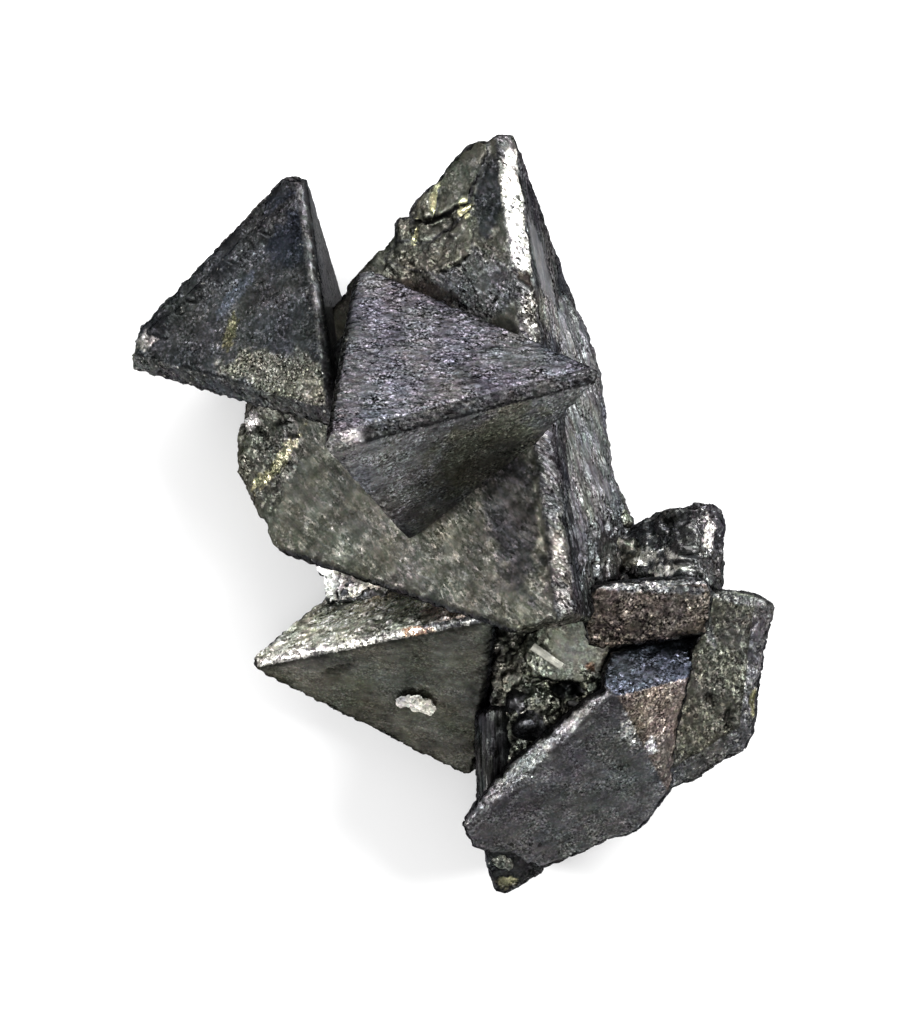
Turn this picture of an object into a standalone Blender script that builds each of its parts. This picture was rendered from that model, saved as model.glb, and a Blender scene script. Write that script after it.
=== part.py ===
"""A hand specimen of tennantite: tetrahedral crystals grown together, lying on the face where they broke from the rock.

Sizes in the tables are millimetres and degrees, and the meshes are built in metres. +Z is up, +X and +Y run across
the specimen as it lies, and the origin is in the middle of the box that holds it, on the surface it rests on.
"""

import math
import random

import bmesh
import bpy
from mathutils import Euler, Matrix, Vector

MM = 0.001
SEED = 11

# Everything under this height was lost when the specimen broke from the rock, so it rests on that face.
REST_HEIGHT = 0.0

# How far the model is moved, so that the origin is in the middle of its box.
ORIGIN_SHIFT = (0.03, 0.18, 0.0)

# The gap kept between tennantite and the grains of other minerals on it.
CONTACT_GAP = 0.05

# The four faces of a tetrahedral crystal, as outward directions in the crystal's own axes.
TETRA_FACES = {
    "a": Vector((1, 1, 1)),
    "b": Vector((1, -1, -1)),
    "c": Vector((-1, 1, -1)),
    "d": Vector((-1, -1, 1)),
}
# Each edge of the tetrahedron is blunted by a face of the cube, named by its axis.
EDGE_FACES = {
    "+x": Vector((1, 0, 0)),
    "-x": Vector((-1, 0, 0)),
    "+y": Vector((0, 1, 0)),
    "-y": Vector((0, -1, 0)),
    "+z": Vector((0, 0, 1)),
    "-z": Vector((0, 0, -1)),
}
# The distances from a tetrahedron's middle to a face, an edge and a corner, for an edge of 1.
INRADIUS = 1 / (2 * math.sqrt(6))
MIDRADIUS = 1 / (2 * math.sqrt(2))
CIRCUMRADIUS = math.sqrt(6) / 4

# The four crystals that give the specimen its look. blunt is the depth taken off each edge and corner the depth
# taken off each corner, edges names the edges blunted by another depth, and broken gives the planes where the
# crystal ends in a break: a point on the plane and its outward direction.
CRYSTALS = {
    "tall": {
        "centre": (0.68, 3.99, 4.72),
        "edge": 26.84,
        "turn": (-27.9, 4.4, -42.3),
        "blunt": 0.30,
        "corner": 0.85,
        "edges": {"+z": 0.72},
        "broken": [
            ((-10.7, 3.9, 4.5), (-0.98, 0.14, -0.10)),
            ((-10.2, 1.2, 4.5), (-0.87, -0.48, -0.10)),
            ((5.3, -5.5, 12.0), (0.25, -0.96, 0.10)),
        ],
    },
    "front": {
        "centre": (-1.10, 5.11, 14.30),
        "edge": 14.62,
        "turn": (18.0, 10.1, 60.4),
        "blunt": 0.28,
        "corner": 0.45,
        "edges": {"+z": 0.50, "+y": 0.35},
    },
    "left": {
        "centre": (-8.78, 9.26, 4.89),
        "edge": 13.72,
        "turn": (-32.7, 5.6, -43.0),
        "blunt": 0.25,
        "corner": 0.50,
        "edges": {"+z": 0.32, "-y": 0.40},
        "broken": [((-16.3, 7.9, 4.0), (-0.98, 0.17, -0.10))],
    },
    "lower_left": {
        "centre": (-1.75, -6.23, 5.91),
        "edge": 14.13,
        "turn": (-21.7, -12.1, 57.5),
        "blunt": 0.22,
        "corner": 0.50,
        "edges": {"+z": 0.42},
    },
}

# Smaller crystals behind and between them, mostly hidden: centre, edge and turn.
ROOT_CRYSTALS = [
    ((6.6, -10.6, 2.6), 13.5, (35.0, 12.0, 20.0)),
    ((11.0, -7.4, 2.2), 12.5, (-20.0, 30.0, 65.0)),
    ((5.6, -6.2, 4.0), 12.5, (50.0, -15.0, 110.0)),
    ((0.4, -5.2, 2.2), 12.5, (10.0, 40.0, -15.0)),
    ((-4.2, 6.2, 1.6), 13.0, (-60.0, 25.0, 40.0)),
    ((3.6, 4.0, 1.4), 12.0, (20.0, 65.0, 10.0)),
]
# The root is broken off all round, a little inside the crystals that stand on it: points and outward directions.
ROOT_BREAKS = [
    ((14.2, -8.0, 3.0), (0.95, 0.05, -0.30)),
    ((9.6, -14.0, 3.0), (0.53, -0.79, -0.30)),
    ((0.4, -12.2, 3.0), (-0.28, -0.91, -0.30)),
    ((-4.6, -8.6, 3.0), (-0.62, -0.72, -0.30)),
    ((-8.8, 0.5, 3.0), (-0.93, -0.22, -0.30)),
    ((-5.6, 11.2, 3.0), (-0.55, 0.78, -0.30)),
    ((4.6, 10.8, 3.0), (0.68, 0.67, -0.30)),
    ((11.2, -3.4, 6.0), (0.60, 0.74, -0.30)),
]
# Crystals that fill the angles between the large ones.
FILL_CRYSTALS = [
    ((-3.3, 7.2, 8.2), 8.4, (-27.9, 4.4, -42.3)),
    ((-3.4, -3.3, 3.4), 7.0, (24.0, -38.0, 10.0)),
    ((-6.9, 8.6, 3.8), 7.0, (15.0, 50.0, 80.0)),
    ((4.0, -9.2, 4.4), 8.5, (35.0, 25.0, 60.0)),
]

# Broken crystals that show only part of their form. Each is an outline seen from above, with its top cut back to
# facets, each given by three points on it. It goes down by its depth from the highest of those points, and taper
# is how wide it still is there. breaks are slanting breaks on its flanks: a point and an outward direction.
BLOCKS = {
    "wedge": {
        "outline": [
            (0.55, -15.69), (1.30, -14.58), (3.11, -12.43), (4.76, -11.13), (6.67, -9.42), (7.57, -8.87),
            (7.57, -8.02), (8.02, -7.02), (9.42, -6.62), (12.63, -6.11), (12.73, -6.82), (12.03, -8.02),
            (11.33, -10.88), (11.13, -13.53), (10.98, -13.93), (9.77, -15.64), (9.27, -16.04), (8.62, -16.39),
            (7.72, -16.49), (6.47, -17.29), (5.26, -17.84), (4.56, -18.04), (3.20, -17.30), (1.70, -17.04),
            (1.10, -16.84),
        ],
        "facets": [
            ((0.95, -15.98, 7.9), (8.26, -9.11, 11.9), (7.75, -16.55, 7.5)),
            ((8.26, -9.11, 11.9), (10.57, -13.52, 9.27), (11.91, -9.21, 9.5)),
            ((0.95, -15.98, 7.9), (8.26, -9.11, 11.9), (7.72, -8.92, 11.6)),
            ((7.97, -8.67, 11.5), (11.61, -8.01, 9.6), (10.43, -6.72, 8.8)),
            ((4.59, -18.16, 6.2), (8.65, -16.45, 7.4), (6.94, -16.79, 7.7)),
        ],
        "depth": 12.0,
        "taper": 0.80,
        "breaks": [((5.30, -17.30, 5.6), (0.35, -0.80, -0.48)), ((1.20, -15.50, 5.2), (-0.75, -0.30, -0.55))],
    },
    "foot": {
        "outline": [
            (1.60, -16.40), (1.81, -17.27), (1.96, -18.33), (2.37, -19.18), (2.77, -19.28), (3.68, -18.73),
            (4.58, -18.18), (4.60, -16.40),
        ],
        "facets": [((1.81, -17.32, 6.9), (4.44, -18.05, 6.4), (2.58, -19.31, 5.4))],
        "depth": 7.0,
        "taper": 0.80,
        "breaks": [((2.30, -19.10, 4.4), (-0.35, -0.80, -0.50))],
    },
    "slab": {
        "outline": [
            (12.84, -3.96), (13.70, -3.96), (15.20, -4.11), (16.01, -4.47), (16.36, -4.82), (15.91, -6.07),
            (15.50, -8.73), (15.20, -11.14), (14.85, -11.89), (13.05, -12.84), (12.34, -13.40), (10.94, -13.90),
            (10.44, -12.74), (10.84, -10.74), (11.64, -8.03), (12.44, -6.07),
        ],
        "facets": [
            ((12.93, -4.21, 8.9), (15.86, -4.97, 8.4), (11.93, -13.23, 8.9)),
            ((15.57, -4.42, 8.2), (15.99, -4.83, 7.7), (15.07, -11.15, 7.9)),
            ((14.96, -10.74, 8.3), (15.09, -11.77, 7.4), (12.46, -13.26, 7.9)),
        ],
        "depth": 9.0,
        "taper": 0.80,
        "breaks": [((15.80, -8.00, 6.0), (0.80, 0.05, -0.60)), ((13.00, -12.90, 6.2), (0.45, -0.75, -0.48))],
    },
    "ledge": {
        "outline": [
            (7.08, -3.79), (7.88, -3.54), (9.88, -3.34), (11.87, -3.29), (12.77, -3.49), (13.07, -4.19),
            (12.77, -6.04), (11.87, -6.24), (10.28, -6.53), (8.63, -6.68), (7.73, -6.93), (6.88, -6.68),
            (6.58, -5.19),
        ],
        "facets": [
            ((7.37, -3.79, 11.6), (12.67, -3.59, 11.0), (10.41, -6.45, 9.7)),
            ((7.37, -3.69, 11.5), (12.67, -3.49, 10.9), (9.88, -3.29, 10.8)),
        ],
        "depth": 9.0,
        "taper": 0.85,
    },
    "ramp": {
        "outline": [
            (3.16, -6.97), (3.81, -6.11), (5.21, -5.41), (6.11, -4.71), (7.12, -4.11), (8.02, -4.81),
            (8.02, -6.72), (7.62, -8.02), (6.92, -8.72), (5.51, -8.52), (4.16, -8.32),
        ],
        "facets": [
            ((5.40, -5.20, 9.9), (7.65, -6.20, 10.0), (5.42, -8.22, 8.9)),
            ((4.65, -5.61, 9.6), (4.81, -8.22, 8.8), (3.42, -7.23, 8.0)),
        ],
        "depth": 5.0,
        "taper": 0.90,
    },
    "shard": {
        "outline": [
            (7.13, -3.72), (7.48, -2.21), (8.04, -1.51), (8.64, -1.21), (9.44, -0.65), (10.35, -0.20),
            (11.05, 0.10), (11.86, 0.15), (12.36, 0.30), (13.16, 0.30), (13.61, 0.00), (13.81, -0.40),
            (13.66, -2.01), (13.61, -3.92), (12.76, -4.47),
        ],
        "facets": [
            ((9.47, -0.70, 7.0), (12.15, 0.10, 8.2), (11.93, -3.46, 8.8)),
            ((12.15, 0.10, 8.2), (11.93, -3.46, 8.8), (13.70, -1.71, 6.8)),
            ((9.47, -0.70, 7.0), (10.44, -3.36, 8.3), (7.45, -2.97, 7.0)),
        ],
        "depth": 9.0,
        "taper": 0.80,
        "breaks": [((13.30, -0.20, 5.6), (0.62, 0.45, -0.64)), ((10.30, -0.30, 4.5), (-0.20, 0.85, -0.50))],
    },
    "fin": {
        "outline": [
            (1.21, -10.17), (2.01, -9.80), (3.22, -9.80), (3.93, -11.28), (3.12, -12.79), (1.36, -14.80),
        ],
        "facets": [
            ((1.91, -10.24, 8.2), (1.61, -14.27, 7.9), (3.42, -11.53, 7.2)),
            ((1.21, -10.37, 7.0), (1.41, -14.61, 6.9), (1.86, -12.25, 8.1)),
        ],
        "depth": 8.2,
        "taper": 0.85,
    },
    "right_growth": {
        "outline": [
            (5.70, 11.00), (6.55, 9.90), (6.95, 9.20), (7.45, 7.35), (7.70, 4.70), (8.10, 1.70),
            (9.10, -0.35), (9.30, -1.60), (8.20, -3.40), (5.80, -4.40), (4.20, 0.00), (3.40, 8.00),
        ],
        "facets": [
            ((4.45, 12.00, 6.7), (5.90, -2.00, 14.0), (7.75, 4.70, 5.0)),
            ((6.20, -1.00, 12.8), (6.00, -4.00, 14.2), (9.20, -1.60, 5.2)),
            ((3.00, 12.00, 10.9), (5.00, 12.00, 10.1), (5.00, -3.00, 15.1)),
        ],
        "depth": 14.0,
        "taper": 0.96,
    },
    "notch_floor": {
        "outline": [
            (-6.50, -1.60), (-6.55, -2.60), (-6.20, -3.60), (-6.30, -4.60), (-3.40, -4.60), (-2.40, -3.40),
            (-3.60, -1.60),
        ],
        "facets": [((-6.60, -2.60, 5.6), (-6.10, -4.40, 6.0), (-3.40, -3.70, 6.9))],
        "depth": 4.2,
        "taper": 0.85,
    },
}

# How far under its lowest facet a broken crystal's side stands straight, and the least it narrows over.
STRAIGHT_SIDE = 0.5
LEAST_TAPER_DEPTH = 0.5

# Raised ledges near the tall crystal's top, where growth stopped and began again: an outline seen from above, and
# the height over the crystal's face d.
TALL_LEDGES = [
    ([(0.05, 18.10), (1.20, 18.30), (1.45, 17.00), (1.05, 16.30), (0.90, 15.50), (0.30, 15.20), (-0.70, 14.70),
      (-0.60, 16.00), (-0.90, 16.90), (-0.40, 17.65)], 0.32),
    ([(-2.10, 15.20), (-1.85, 15.80), (-1.35, 16.50), (-0.80, 16.80), (-0.60, 15.80), (-0.90, 14.60),
      (-1.20, 14.50), (-2.00, 14.70)], 0.50),
    ([(-2.62, 14.80), (-2.10, 14.75), (-1.95, 14.30), (-2.00, 13.65), (-2.76, 13.60), (-2.82, 14.40)], 0.42),
    ([(-2.80, 13.50), (-1.10, 13.50), (0.90, 15.05), (1.30, 14.70), (0.90, 12.70), (-0.60, 11.90), (-2.10, 12.20),
      (-3.40, 12.70)], 0.18),
]

# How far a ledge is sunk in the face that it stands on.
LEDGE_ROOT = 1.0

# Uneven lumps: centre, radius and how flat each is.
LUMPS = [
    ((4.35, -10.05, 7.6), 1.30, 0.80),
    ((2.95, -8.40, 7.4), 0.85, 0.80),
    ((3.10, -11.20, 6.9), 0.75, 0.90),
    ((2.75, -6.90, 8.0), 0.70, 0.70),
    ((7.00, -8.35, 8.9), 0.60, 0.90),
    ((8.20, -0.70, 5.6), 0.80, 0.90),
    ((8.60, -2.10, 6.8), 0.80, 0.80),
    ((2.60, -17.40, 6.6), 0.60, 0.60),
]
# Rows of lumps: both ends, how many and their radius.
LUMP_ROWS = [
    ((12.95, -4.30, 8.6), (15.90, -4.80, 8.1), 6, 0.34),
    ((6.90, -3.90, 10.2), (12.80, -3.70, 10.8), 9, 0.24),
]
# Small crystals in parallel growth along the face d of a large one: the large crystal, both ends of the row seen
# from above, how many they are and their edge.
PARALLEL_ROWS = [
    ("left", (-15.10, 8.90), (-7.80, 15.70), 13, 1.5),
    ("tall", (-4.70, 11.30), (-0.30, 16.30), 8, 1.7),
]
# How far the small crystals stand over the face they grow on, and how blunt they are.
PARALLEL_PROUD = (0.05, 0.30)
PARALLEL_BLUNT = {"blunt": 0.06, "corner": 0.30}

# Three-cornered pits: the crystal or block, its face, the place seen from above, size and turn.
PITS = [
    ("front", "a", (1.38, 6.42), 0.44, (60.0, 20.0, 10.0)),
    ("front", "a", (2.05, 5.85), 0.32, (10.0, 50.0, 30.0)),
    ("front", "a", (-2.55, 8.40), 0.34, (30.0, 10.0, 60.0)),
    ("left", "d", (-7.06, 5.77), 0.42, (20.0, 70.0, 10.0)),
    ("left", "d", (-8.06, 5.87), 0.34, (50.0, 10.0, 40.0)),
    ("lower_left", "d", (-5.60, -7.95), 0.32, (10.0, 10.0, 70.0)),
    ("slab", 0, (12.90, -9.40), 0.30, (30.0, 20.0, 10.0)),
    ("slab", 0, (13.00, -10.50), 0.30, (0.0, 20.0, 50.0)),
    ("slab", 0, (13.90, -10.40), 0.42, (0.0, 50.0, 50.0)),
    ("shard", 0, (10.96, -0.58), 0.52, (20.0, 40.0, 10.0)),
    ("shard", 0, (9.90, -1.60), 0.44, (60.0, 10.0, 10.0)),
    ("right_growth", 1, (7.70, -0.95), 0.70, (40.0, 10.0, 0.0)),
    ("right_growth", 1, (8.20, -0.05), 0.60, (10.0, 60.0, 30.0)),
]
# The dark hole between the ramp and the wedge: centre, size and turn.
HOLES = [
    ((5.95, -9.15, 8.6), 1.10, (20.0, 0.0, 30.0)),
    ((5.20, -8.95, 8.2), 0.85, (0.0, 30.0, 80.0)),
]

# Rough edges, broken into small steps: both ends, the number of steps and their size.
ROUGH_EDGES = [
    ((-16.5, 9.7, 4.4), (-9.6, 16.3, 6.5), 13, 0.45),
    ((-4.1, 13.3, 5.6), (-0.1, 18.0, 8.7), 6, 0.55),
    ((-10.9, 4.4, 3.4), (-10.2, 0.6, 4.2), 6, 0.62),
    ((-9.9, -0.6, 4.0), (-6.0, -2.4, 8.0), 6, 0.40),
    ((15.0, -12.0, 7.2), (10.9, -14.0, 7.6), 7, 0.42),
    ((4.6, -18.1, 6.3), (9.6, -15.9, 7.8), 7, 0.40),
    ((15.9, -5.6, 7.6), (15.1, -11.4, 7.6), 7, 0.28),
    ((7.4, 9.2, 5.4), (8.5, 2.2, 5.6), 8, 0.55),
]

# A pale quartz prism that lies on the ramp, along a heading seen from above.
NEEDLE = {"place": (4.86, -7.15), "heading": (1.5, -1.05), "length": 1.80, "radius": 0.22}
# A pale grain on the lower left crystal's face d, along a heading seen from above.
GRAIN = {"place": (-1.85, -9.05), "heading": (1.0, -0.32), "size": (1.75, 0.80, 0.50)}
# The directions of its broken corners, in parts of its size, and how far out each break is.
GRAIN_BREAKS = [(1, 0.7, 0.5), (-1, 0.9, 0.6), (-1, -0.4, 0.7), (0.9, -1, 0.4), (0.2, 0.6, 1.0)]
GRAIN_BREAK_REACH = 0.62
# Pale small crystals in the notch between the tall and the lower left crystal.
DRUSE_FACET = BLOCKS["notch_floor"]["facets"][0]
DRUSE_GRAINS = 26
DRUSE_SPREAD = ((-6.45, -2.55), (-6.25, -4.20), (-3.60, -3.60))
DRUSE_GRAIN_SIZE = (0.45, 0.80)
DRUSE_THICKNESS = 0.25
DRUSE_CLEARANCE = 5.0
DRUSE_GRAIN_HEIGHT = 0.15

COLOURS = {
    "tennantite": ((0.115, 0.117, 0.122), 0.38, 1.0),
    "quartz": ((0.62, 0.60, 0.52), 0.25, 0.0),
    "grain": ((0.50, 0.49, 0.44), 0.35, 0.2),
    "druse": ((0.42, 0.40, 0.34), 0.45, 0.2),
}


def material(name):
    """The named finish, as a Principled material."""
    colour, roughness, metallic = COLOURS[name]
    made = bpy.data.materials.new(name)
    made.use_nodes = True
    shader = made.node_tree.nodes["Principled BSDF"]
    shader.inputs["Base Color"].default_value = (*colour, 1.0)
    shader.inputs["Roughness"].default_value = roughness
    shader.inputs["Metallic"].default_value = metallic
    return made


def turned(degrees):
    """The rotation matrix of three angles in degrees."""
    return Euler([math.radians(angle) for angle in degrees]).to_matrix()


def face_plane(crystal, face_name):
    """A point on one face of a crystal and the face's outward direction."""
    outward = turned(crystal["turn"]) @ TETRA_FACES[face_name].normalized()
    return Vector(crystal["centre"]) + outward * INRADIUS * crystal["edge"], outward


def facet_plane(facet):
    """A point on a facet given by three points, and its upward direction."""
    first, second, third = (Vector(point) for point in facet)
    outward = (second - first).cross(third - first).normalized()
    return first, outward if outward.z > 0 else -outward


def surface_plane(owner, face):
    """The plane of a face of a named crystal, or of a facet of a named block."""
    if owner in CRYSTALS:
        return face_plane(CRYSTALS[owner], face)
    return facet_plane(BLOCKS[owner]["facets"][face])


def above(plane, place, height=0.0):
    """The point of a plane that is seen at a place from above, moved outward by a height."""
    point, outward = plane
    x, y = place
    z = point.z - (outward.x * (x - point.x) + outward.y * (y - point.y)) / outward.z
    return Vector((x, y, z)) + outward * height


def lying_on(plane, heading):
    """The axes of a thing that lies on a plane along a heading: along, across and outward."""
    outward = plane[1]
    along = Vector((*heading, 0.0))
    along = (along - outward * along.dot(outward)).normalized()
    return Matrix((along, outward.cross(along), outward)).transposed()


def cut(form, point, outward):
    """Cuts a closed convex form by a plane, takes off the outer side and closes the cut."""
    geometry = form.verts[:] + form.edges[:] + form.faces[:]
    bmesh.ops.bisect_plane(
        form, geom=geometry, dist=1e-5, plane_co=point, plane_no=outward.normalized(), clear_outer=True
    )
    rim = [edge for edge in form.edges if edge.is_boundary]
    if rim:
        bmesh.ops.contextual_create(form, geom=rim)


def placed(form, matrix, place):
    """Turns and moves a form from its own axes to its place."""
    bmesh.ops.rotate(form, cent=(0, 0, 0), matrix=matrix, verts=form.verts)
    bmesh.ops.translate(form, vec=place, verts=form.verts)
    return form


def finished(form, name, collection):
    """The form, worked in mm, as an object in metres."""
    bmesh.ops.translate(form, vec=ORIGIN_SHIFT, verts=form.verts)
    bmesh.ops.scale(form, vec=(MM, MM, MM), verts=form.verts)
    bmesh.ops.recalc_face_normals(form, faces=form.faces)
    mesh = bpy.data.meshes.new(name)
    form.to_mesh(mesh)
    form.free()
    piece = bpy.data.objects.new(name, mesh)
    collection.objects.link(piece)
    return piece


def crystal_form(centre, edge, turn, blunt=0.3, corner=0.6, edges=None, broken=()):
    """A tetrahedral crystal cut from a cube: four large faces, six blunted edges and four blunted corners."""
    edges = edges or {}
    form = bmesh.new()
    bmesh.ops.create_cube(form, size=3 * edge)
    for face in TETRA_FACES.values():
        cut(form, face.normalized() * INRADIUS * edge, face)
    for face_name, face in EDGE_FACES.items():
        depth = edges.get(face_name, blunt)
        cut(form, face * (MIDRADIUS * edge - depth), face)
    for face in TETRA_FACES.values():
        cut(form, -face.normalized() * (CIRCUMRADIUS * edge - corner), -face)
    placed(form, turned(turn), centre)
    for point, outward in broken:
        cut(form, Vector(point), Vector(outward))
    cut(form, Vector((0, 0, REST_HEIGHT)), Vector((0, 0, -1)))
    return form


def prism_form(outline, top, bottom):
    """An outline seen from above, filled and drawn down from one height to another."""
    form = bmesh.new()
    lid = form.faces.new([form.verts.new((x, y, top)) for x, y in outline])
    made = bmesh.ops.extrude_face_region(form, geom=[lid], use_keep_orig=True)["geom"]
    lower = [item for item in made if isinstance(item, bmesh.types.BMVert)]
    bmesh.ops.translate(form, vec=(0, 0, bottom - top), verts=lower)
    bmesh.ops.recalc_face_normals(form, faces=form.faces)
    return form


def block_form(outline, facets, depth, taper, breaks=()):
    """A broken crystal: straight down from its outline, then narrower to its end, with its top cut to facets."""
    heights = [point[2] for facet in facets for point in facet]
    shoulder = min(heights) - STRAIGHT_SIDE
    form = prism_form(outline, 2 * max(heights), shoulder)
    base = min(form.faces, key=lambda face: face.calc_center_median().z)
    middle = base.calc_center_median()
    made = bmesh.ops.extrude_discrete_faces(form, faces=[base])["faces"]
    lower = made[0].verts
    drop = max(REST_HEIGHT, max(heights) - depth) - shoulder
    bmesh.ops.translate(form, vec=(0, 0, min(drop, -LEAST_TAPER_DEPTH)), verts=lower)
    bmesh.ops.scale(form, vec=(taper, taper, 1), space=Matrix.Translation(-middle), verts=lower)
    for facet in facets:
        cut(form, *facet_plane(facet))
    for point, outward in breaks:
        cut(form, Vector(point), Vector(outward))
    return form


def ledge_form(outline, height):
    """A low ledge on the tall crystal's face d."""
    plane = face_plane(CRYSTALS["tall"], "d")
    tops = [above(plane, place, height).z for place in outline]
    form = prism_form(outline, max(tops) + LEDGE_ROOT, min(tops) - 2 * LEDGE_ROOT)
    point, outward = plane
    cut(form, point + outward * height, outward)
    cut(form, point - outward * LEDGE_ROOT, -outward)
    return form


def dent_form(centre, size, turn):
    """A three-cornered dent or step."""
    form = bmesh.new()
    bmesh.ops.create_cone(form, cap_ends=True, segments=3, radius1=size, radius2=size * 0.25, depth=size * 1.2)
    return placed(form, turned(turn), centre)


def lump_form(centre, radius, flat, rng):
    """A rounded lump, uneven like a half-formed crystal."""
    form = bmesh.new()
    bmesh.ops.create_icosphere(form, subdivisions=2 if radius > 0.6 else 1, radius=radius)
    for vert in form.verts:
        vert.co *= 1 + rng.uniform(-0.14, 0.14)
    bmesh.ops.scale(form, vec=(1, 1, flat), verts=form.verts)
    return placed(form, turned([rng.uniform(0, 40) for _ in range(3)]), centre)


def helper_collection(name):
    """A collection for forms that only shape the specimen."""
    made = bpy.data.collections.new(name)
    made.hide_render = True
    bpy.context.scene.collection.children.link(made)
    return made


def boolean(piece, operation, collection):
    """Joins a whole collection to the piece, or cuts the collection from it."""
    for helper in collection.objects:
        helper.hide_render = True
        helper.display_type = "WIRE"
    step = piece.modifiers.new(operation.title(), "BOOLEAN")
    step.operation = operation
    step.operand_type = "COLLECTION"
    step.collection = collection
    step.solver = "EXACT"
    step.use_self = operation == "UNION"


def parallel_crystal(owner, place, edge, rng):
    """A small crystal turned as a large one, standing a little over its face d."""
    large = CRYSTALS[owner]
    proud = rng.uniform(*PARALLEL_PROUD)
    centre = above(face_plane(large, "d"), place, proud - INRADIUS * edge)
    return crystal_form(centre, edge, large["turn"], **PARALLEL_BLUNT)


def row(start, end, count, rng):
    """Uneven places along a line."""
    start, end = Vector(start), Vector(end)
    return [start.lerp(end, (step + rng.uniform(0.2, 0.8)) / count) for step in range(count)]


def add_growths(collection):
    """Every crystal but the tall one, for joining to it."""
    rng = random.Random(SEED)
    forms = [crystal_form(**crystal) for name, crystal in CRYSTALS.items() if name != "tall"]
    forms += [crystal_form(*root, broken=ROOT_BREAKS) for root in ROOT_CRYSTALS]
    forms += [crystal_form(*fill) for fill in FILL_CRYSTALS]
    forms += [block_form(**block) for block in BLOCKS.values()]
    forms += [ledge_form(outline, height) for outline, height in TALL_LEDGES]
    forms += [lump_form(centre, radius, flat, rng) for centre, radius, flat in LUMPS]
    for start, end, count, radius in LUMP_ROWS:
        for place in row(start, end, count, rng):
            forms.append(lump_form(place, radius * rng.uniform(0.7, 1.2), 0.8, rng))
    for owner, start, end, count, edge in PARALLEL_ROWS:
        for place in row(start, end, count, rng):
            forms.append(parallel_crystal(owner, place, edge * rng.uniform(0.7, 1.3), rng))
    for number, form in enumerate(forms):
        finished(form, f"growth_{number}", collection)


def add_dents(collection):
    """Pits in the faces and broken steps along the rough edges, for cutting away."""
    rng = random.Random(SEED + 1)
    forms = [dent_form(centre, size, turn) for centre, size, turn in HOLES]
    for owner, face, place, size, turn in PITS:
        forms.append(dent_form(above(surface_plane(owner, face), place), size, turn))
    for start, end, count, size in ROUGH_EDGES:
        for place in row(start, end, count, rng):
            outward = Vector([rng.uniform(-0.3, 0.3) * size for _ in range(3)])
            turn = [rng.uniform(0, 90) for _ in range(3)]
            forms.append(dent_form(place + outward, size * rng.uniform(0.6, 1.2), turn))
    for number, form in enumerate(forms):
        finished(form, f"dent_{number}", collection)


def tennantite_crystals(collection):
    """The crystals grown together, as one solid."""
    growths = helper_collection("growths")
    dents = helper_collection("dents")
    add_growths(growths)
    add_dents(dents)
    piece = finished(crystal_form(**CRYSTALS["tall"]), "tennantite_crystals", collection)
    boolean(piece, "UNION", growths)
    boolean(piece, "DIFFERENCE", dents)
    piece.data.materials.append(material("tennantite"))


def quartz_needle(collection):
    """A six-sided pale prism that lies on the ramp."""
    plane = facet_plane(BLOCKS["ramp"]["facets"][0])
    radius = NEEDLE["radius"]
    form = bmesh.new()
    bmesh.ops.create_cone(
        form, cap_ends=True, segments=6, radius1=radius, radius2=radius * 0.85, depth=NEEDLE["length"]
    )
    bmesh.ops.rotate(form, cent=(0, 0, 0), matrix=turned((0, 90, 0)), verts=form.verts)
    place = above(plane, NEEDLE["place"], radius + CONTACT_GAP)
    placed(form, lying_on(plane, NEEDLE["heading"]), place)
    finished(form, "quartz_needle", collection).data.materials.append(material("quartz"))


def quartz_grain(collection):
    """A pale chip with broken ends on the lower left crystal."""
    plane = face_plane(CRYSTALS["lower_left"], "d")
    length, width, height = GRAIN["size"]
    form = bmesh.new()
    bmesh.ops.create_cube(form, size=1.0)
    bmesh.ops.scale(form, vec=GRAIN["size"], verts=form.verts)
    for x, y, z in GRAIN_BREAKS:
        outward = Vector((x / length, y / width, z / height)).normalized()
        corner = Vector((math.copysign(length, x), math.copysign(width, y), math.copysign(height, z))) / 2
        cut(form, corner * GRAIN_BREAK_REACH, outward)
    place = above(plane, GRAIN["place"], height / 2 + CONTACT_GAP)
    placed(form, lying_on(plane, GRAIN["heading"]), place)
    finished(form, "quartz_grain", collection).data.materials.append(material("grain"))


def pale_druse(collection):
    """A crust of small pale crystals in the notch, clear of the crystals on both sides of it."""
    rng = random.Random(SEED + 2)
    plane = facet_plane(DRUSE_FACET)
    point, outward = plane
    corners = [Vector(corner) for corner in DRUSE_SPREAD]
    grains = helper_collection("druse_grains")
    for number in range(DRUSE_GRAINS):
        first, second = sorted((rng.random(), rng.random()))
        place = corners[0] * first + corners[1] * (second - first) + corners[2] * (1 - second)
        form = bmesh.new()
        bmesh.ops.create_cube(form, size=rng.uniform(*DRUSE_GRAIN_SIZE))
        placed(form, turned([rng.uniform(0, 90) for _ in range(3)]), above(plane, place, DRUSE_GRAIN_HEIGHT))
        finished(form, f"druse_grain_{number}", grains)
    base = prism_form([tuple(corner) for corner in corners], 2 * point.z, 0)
    cut(base, point + outward * DRUSE_THICKNESS, outward)
    cut(base, point + outward * CONTACT_GAP, -outward)
    piece = finished(base, "pale_druse", collection)
    boolean(piece, "UNION", grains)
    neighbours = helper_collection("druse_neighbours")
    for name in ("tall", "lower_left"):
        larger = dict(CRYSTALS[name])
        larger["edge"] += CONTACT_GAP / INRADIUS
        larger["blunt"] = 0.05
        larger["edges"] = {}
        finished(crystal_form(**larger), f"clear_of_{name}", neighbours)
    below = bmesh.new()
    bmesh.ops.create_cube(below, size=2 * DRUSE_CLEARANCE)
    placed(below, lying_on(plane, (1, 0)), point + outward * (CONTACT_GAP - DRUSE_CLEARANCE))
    finished(below, "clear_of_floor", neighbours)
    boolean(piece, "DIFFERENCE", neighbours)
    piece.data.materials.append(material("druse"))


def clear_scene():
    """Removes what the file opened with."""
    for item in list(bpy.data.objects):
        bpy.data.objects.remove(item)


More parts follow.
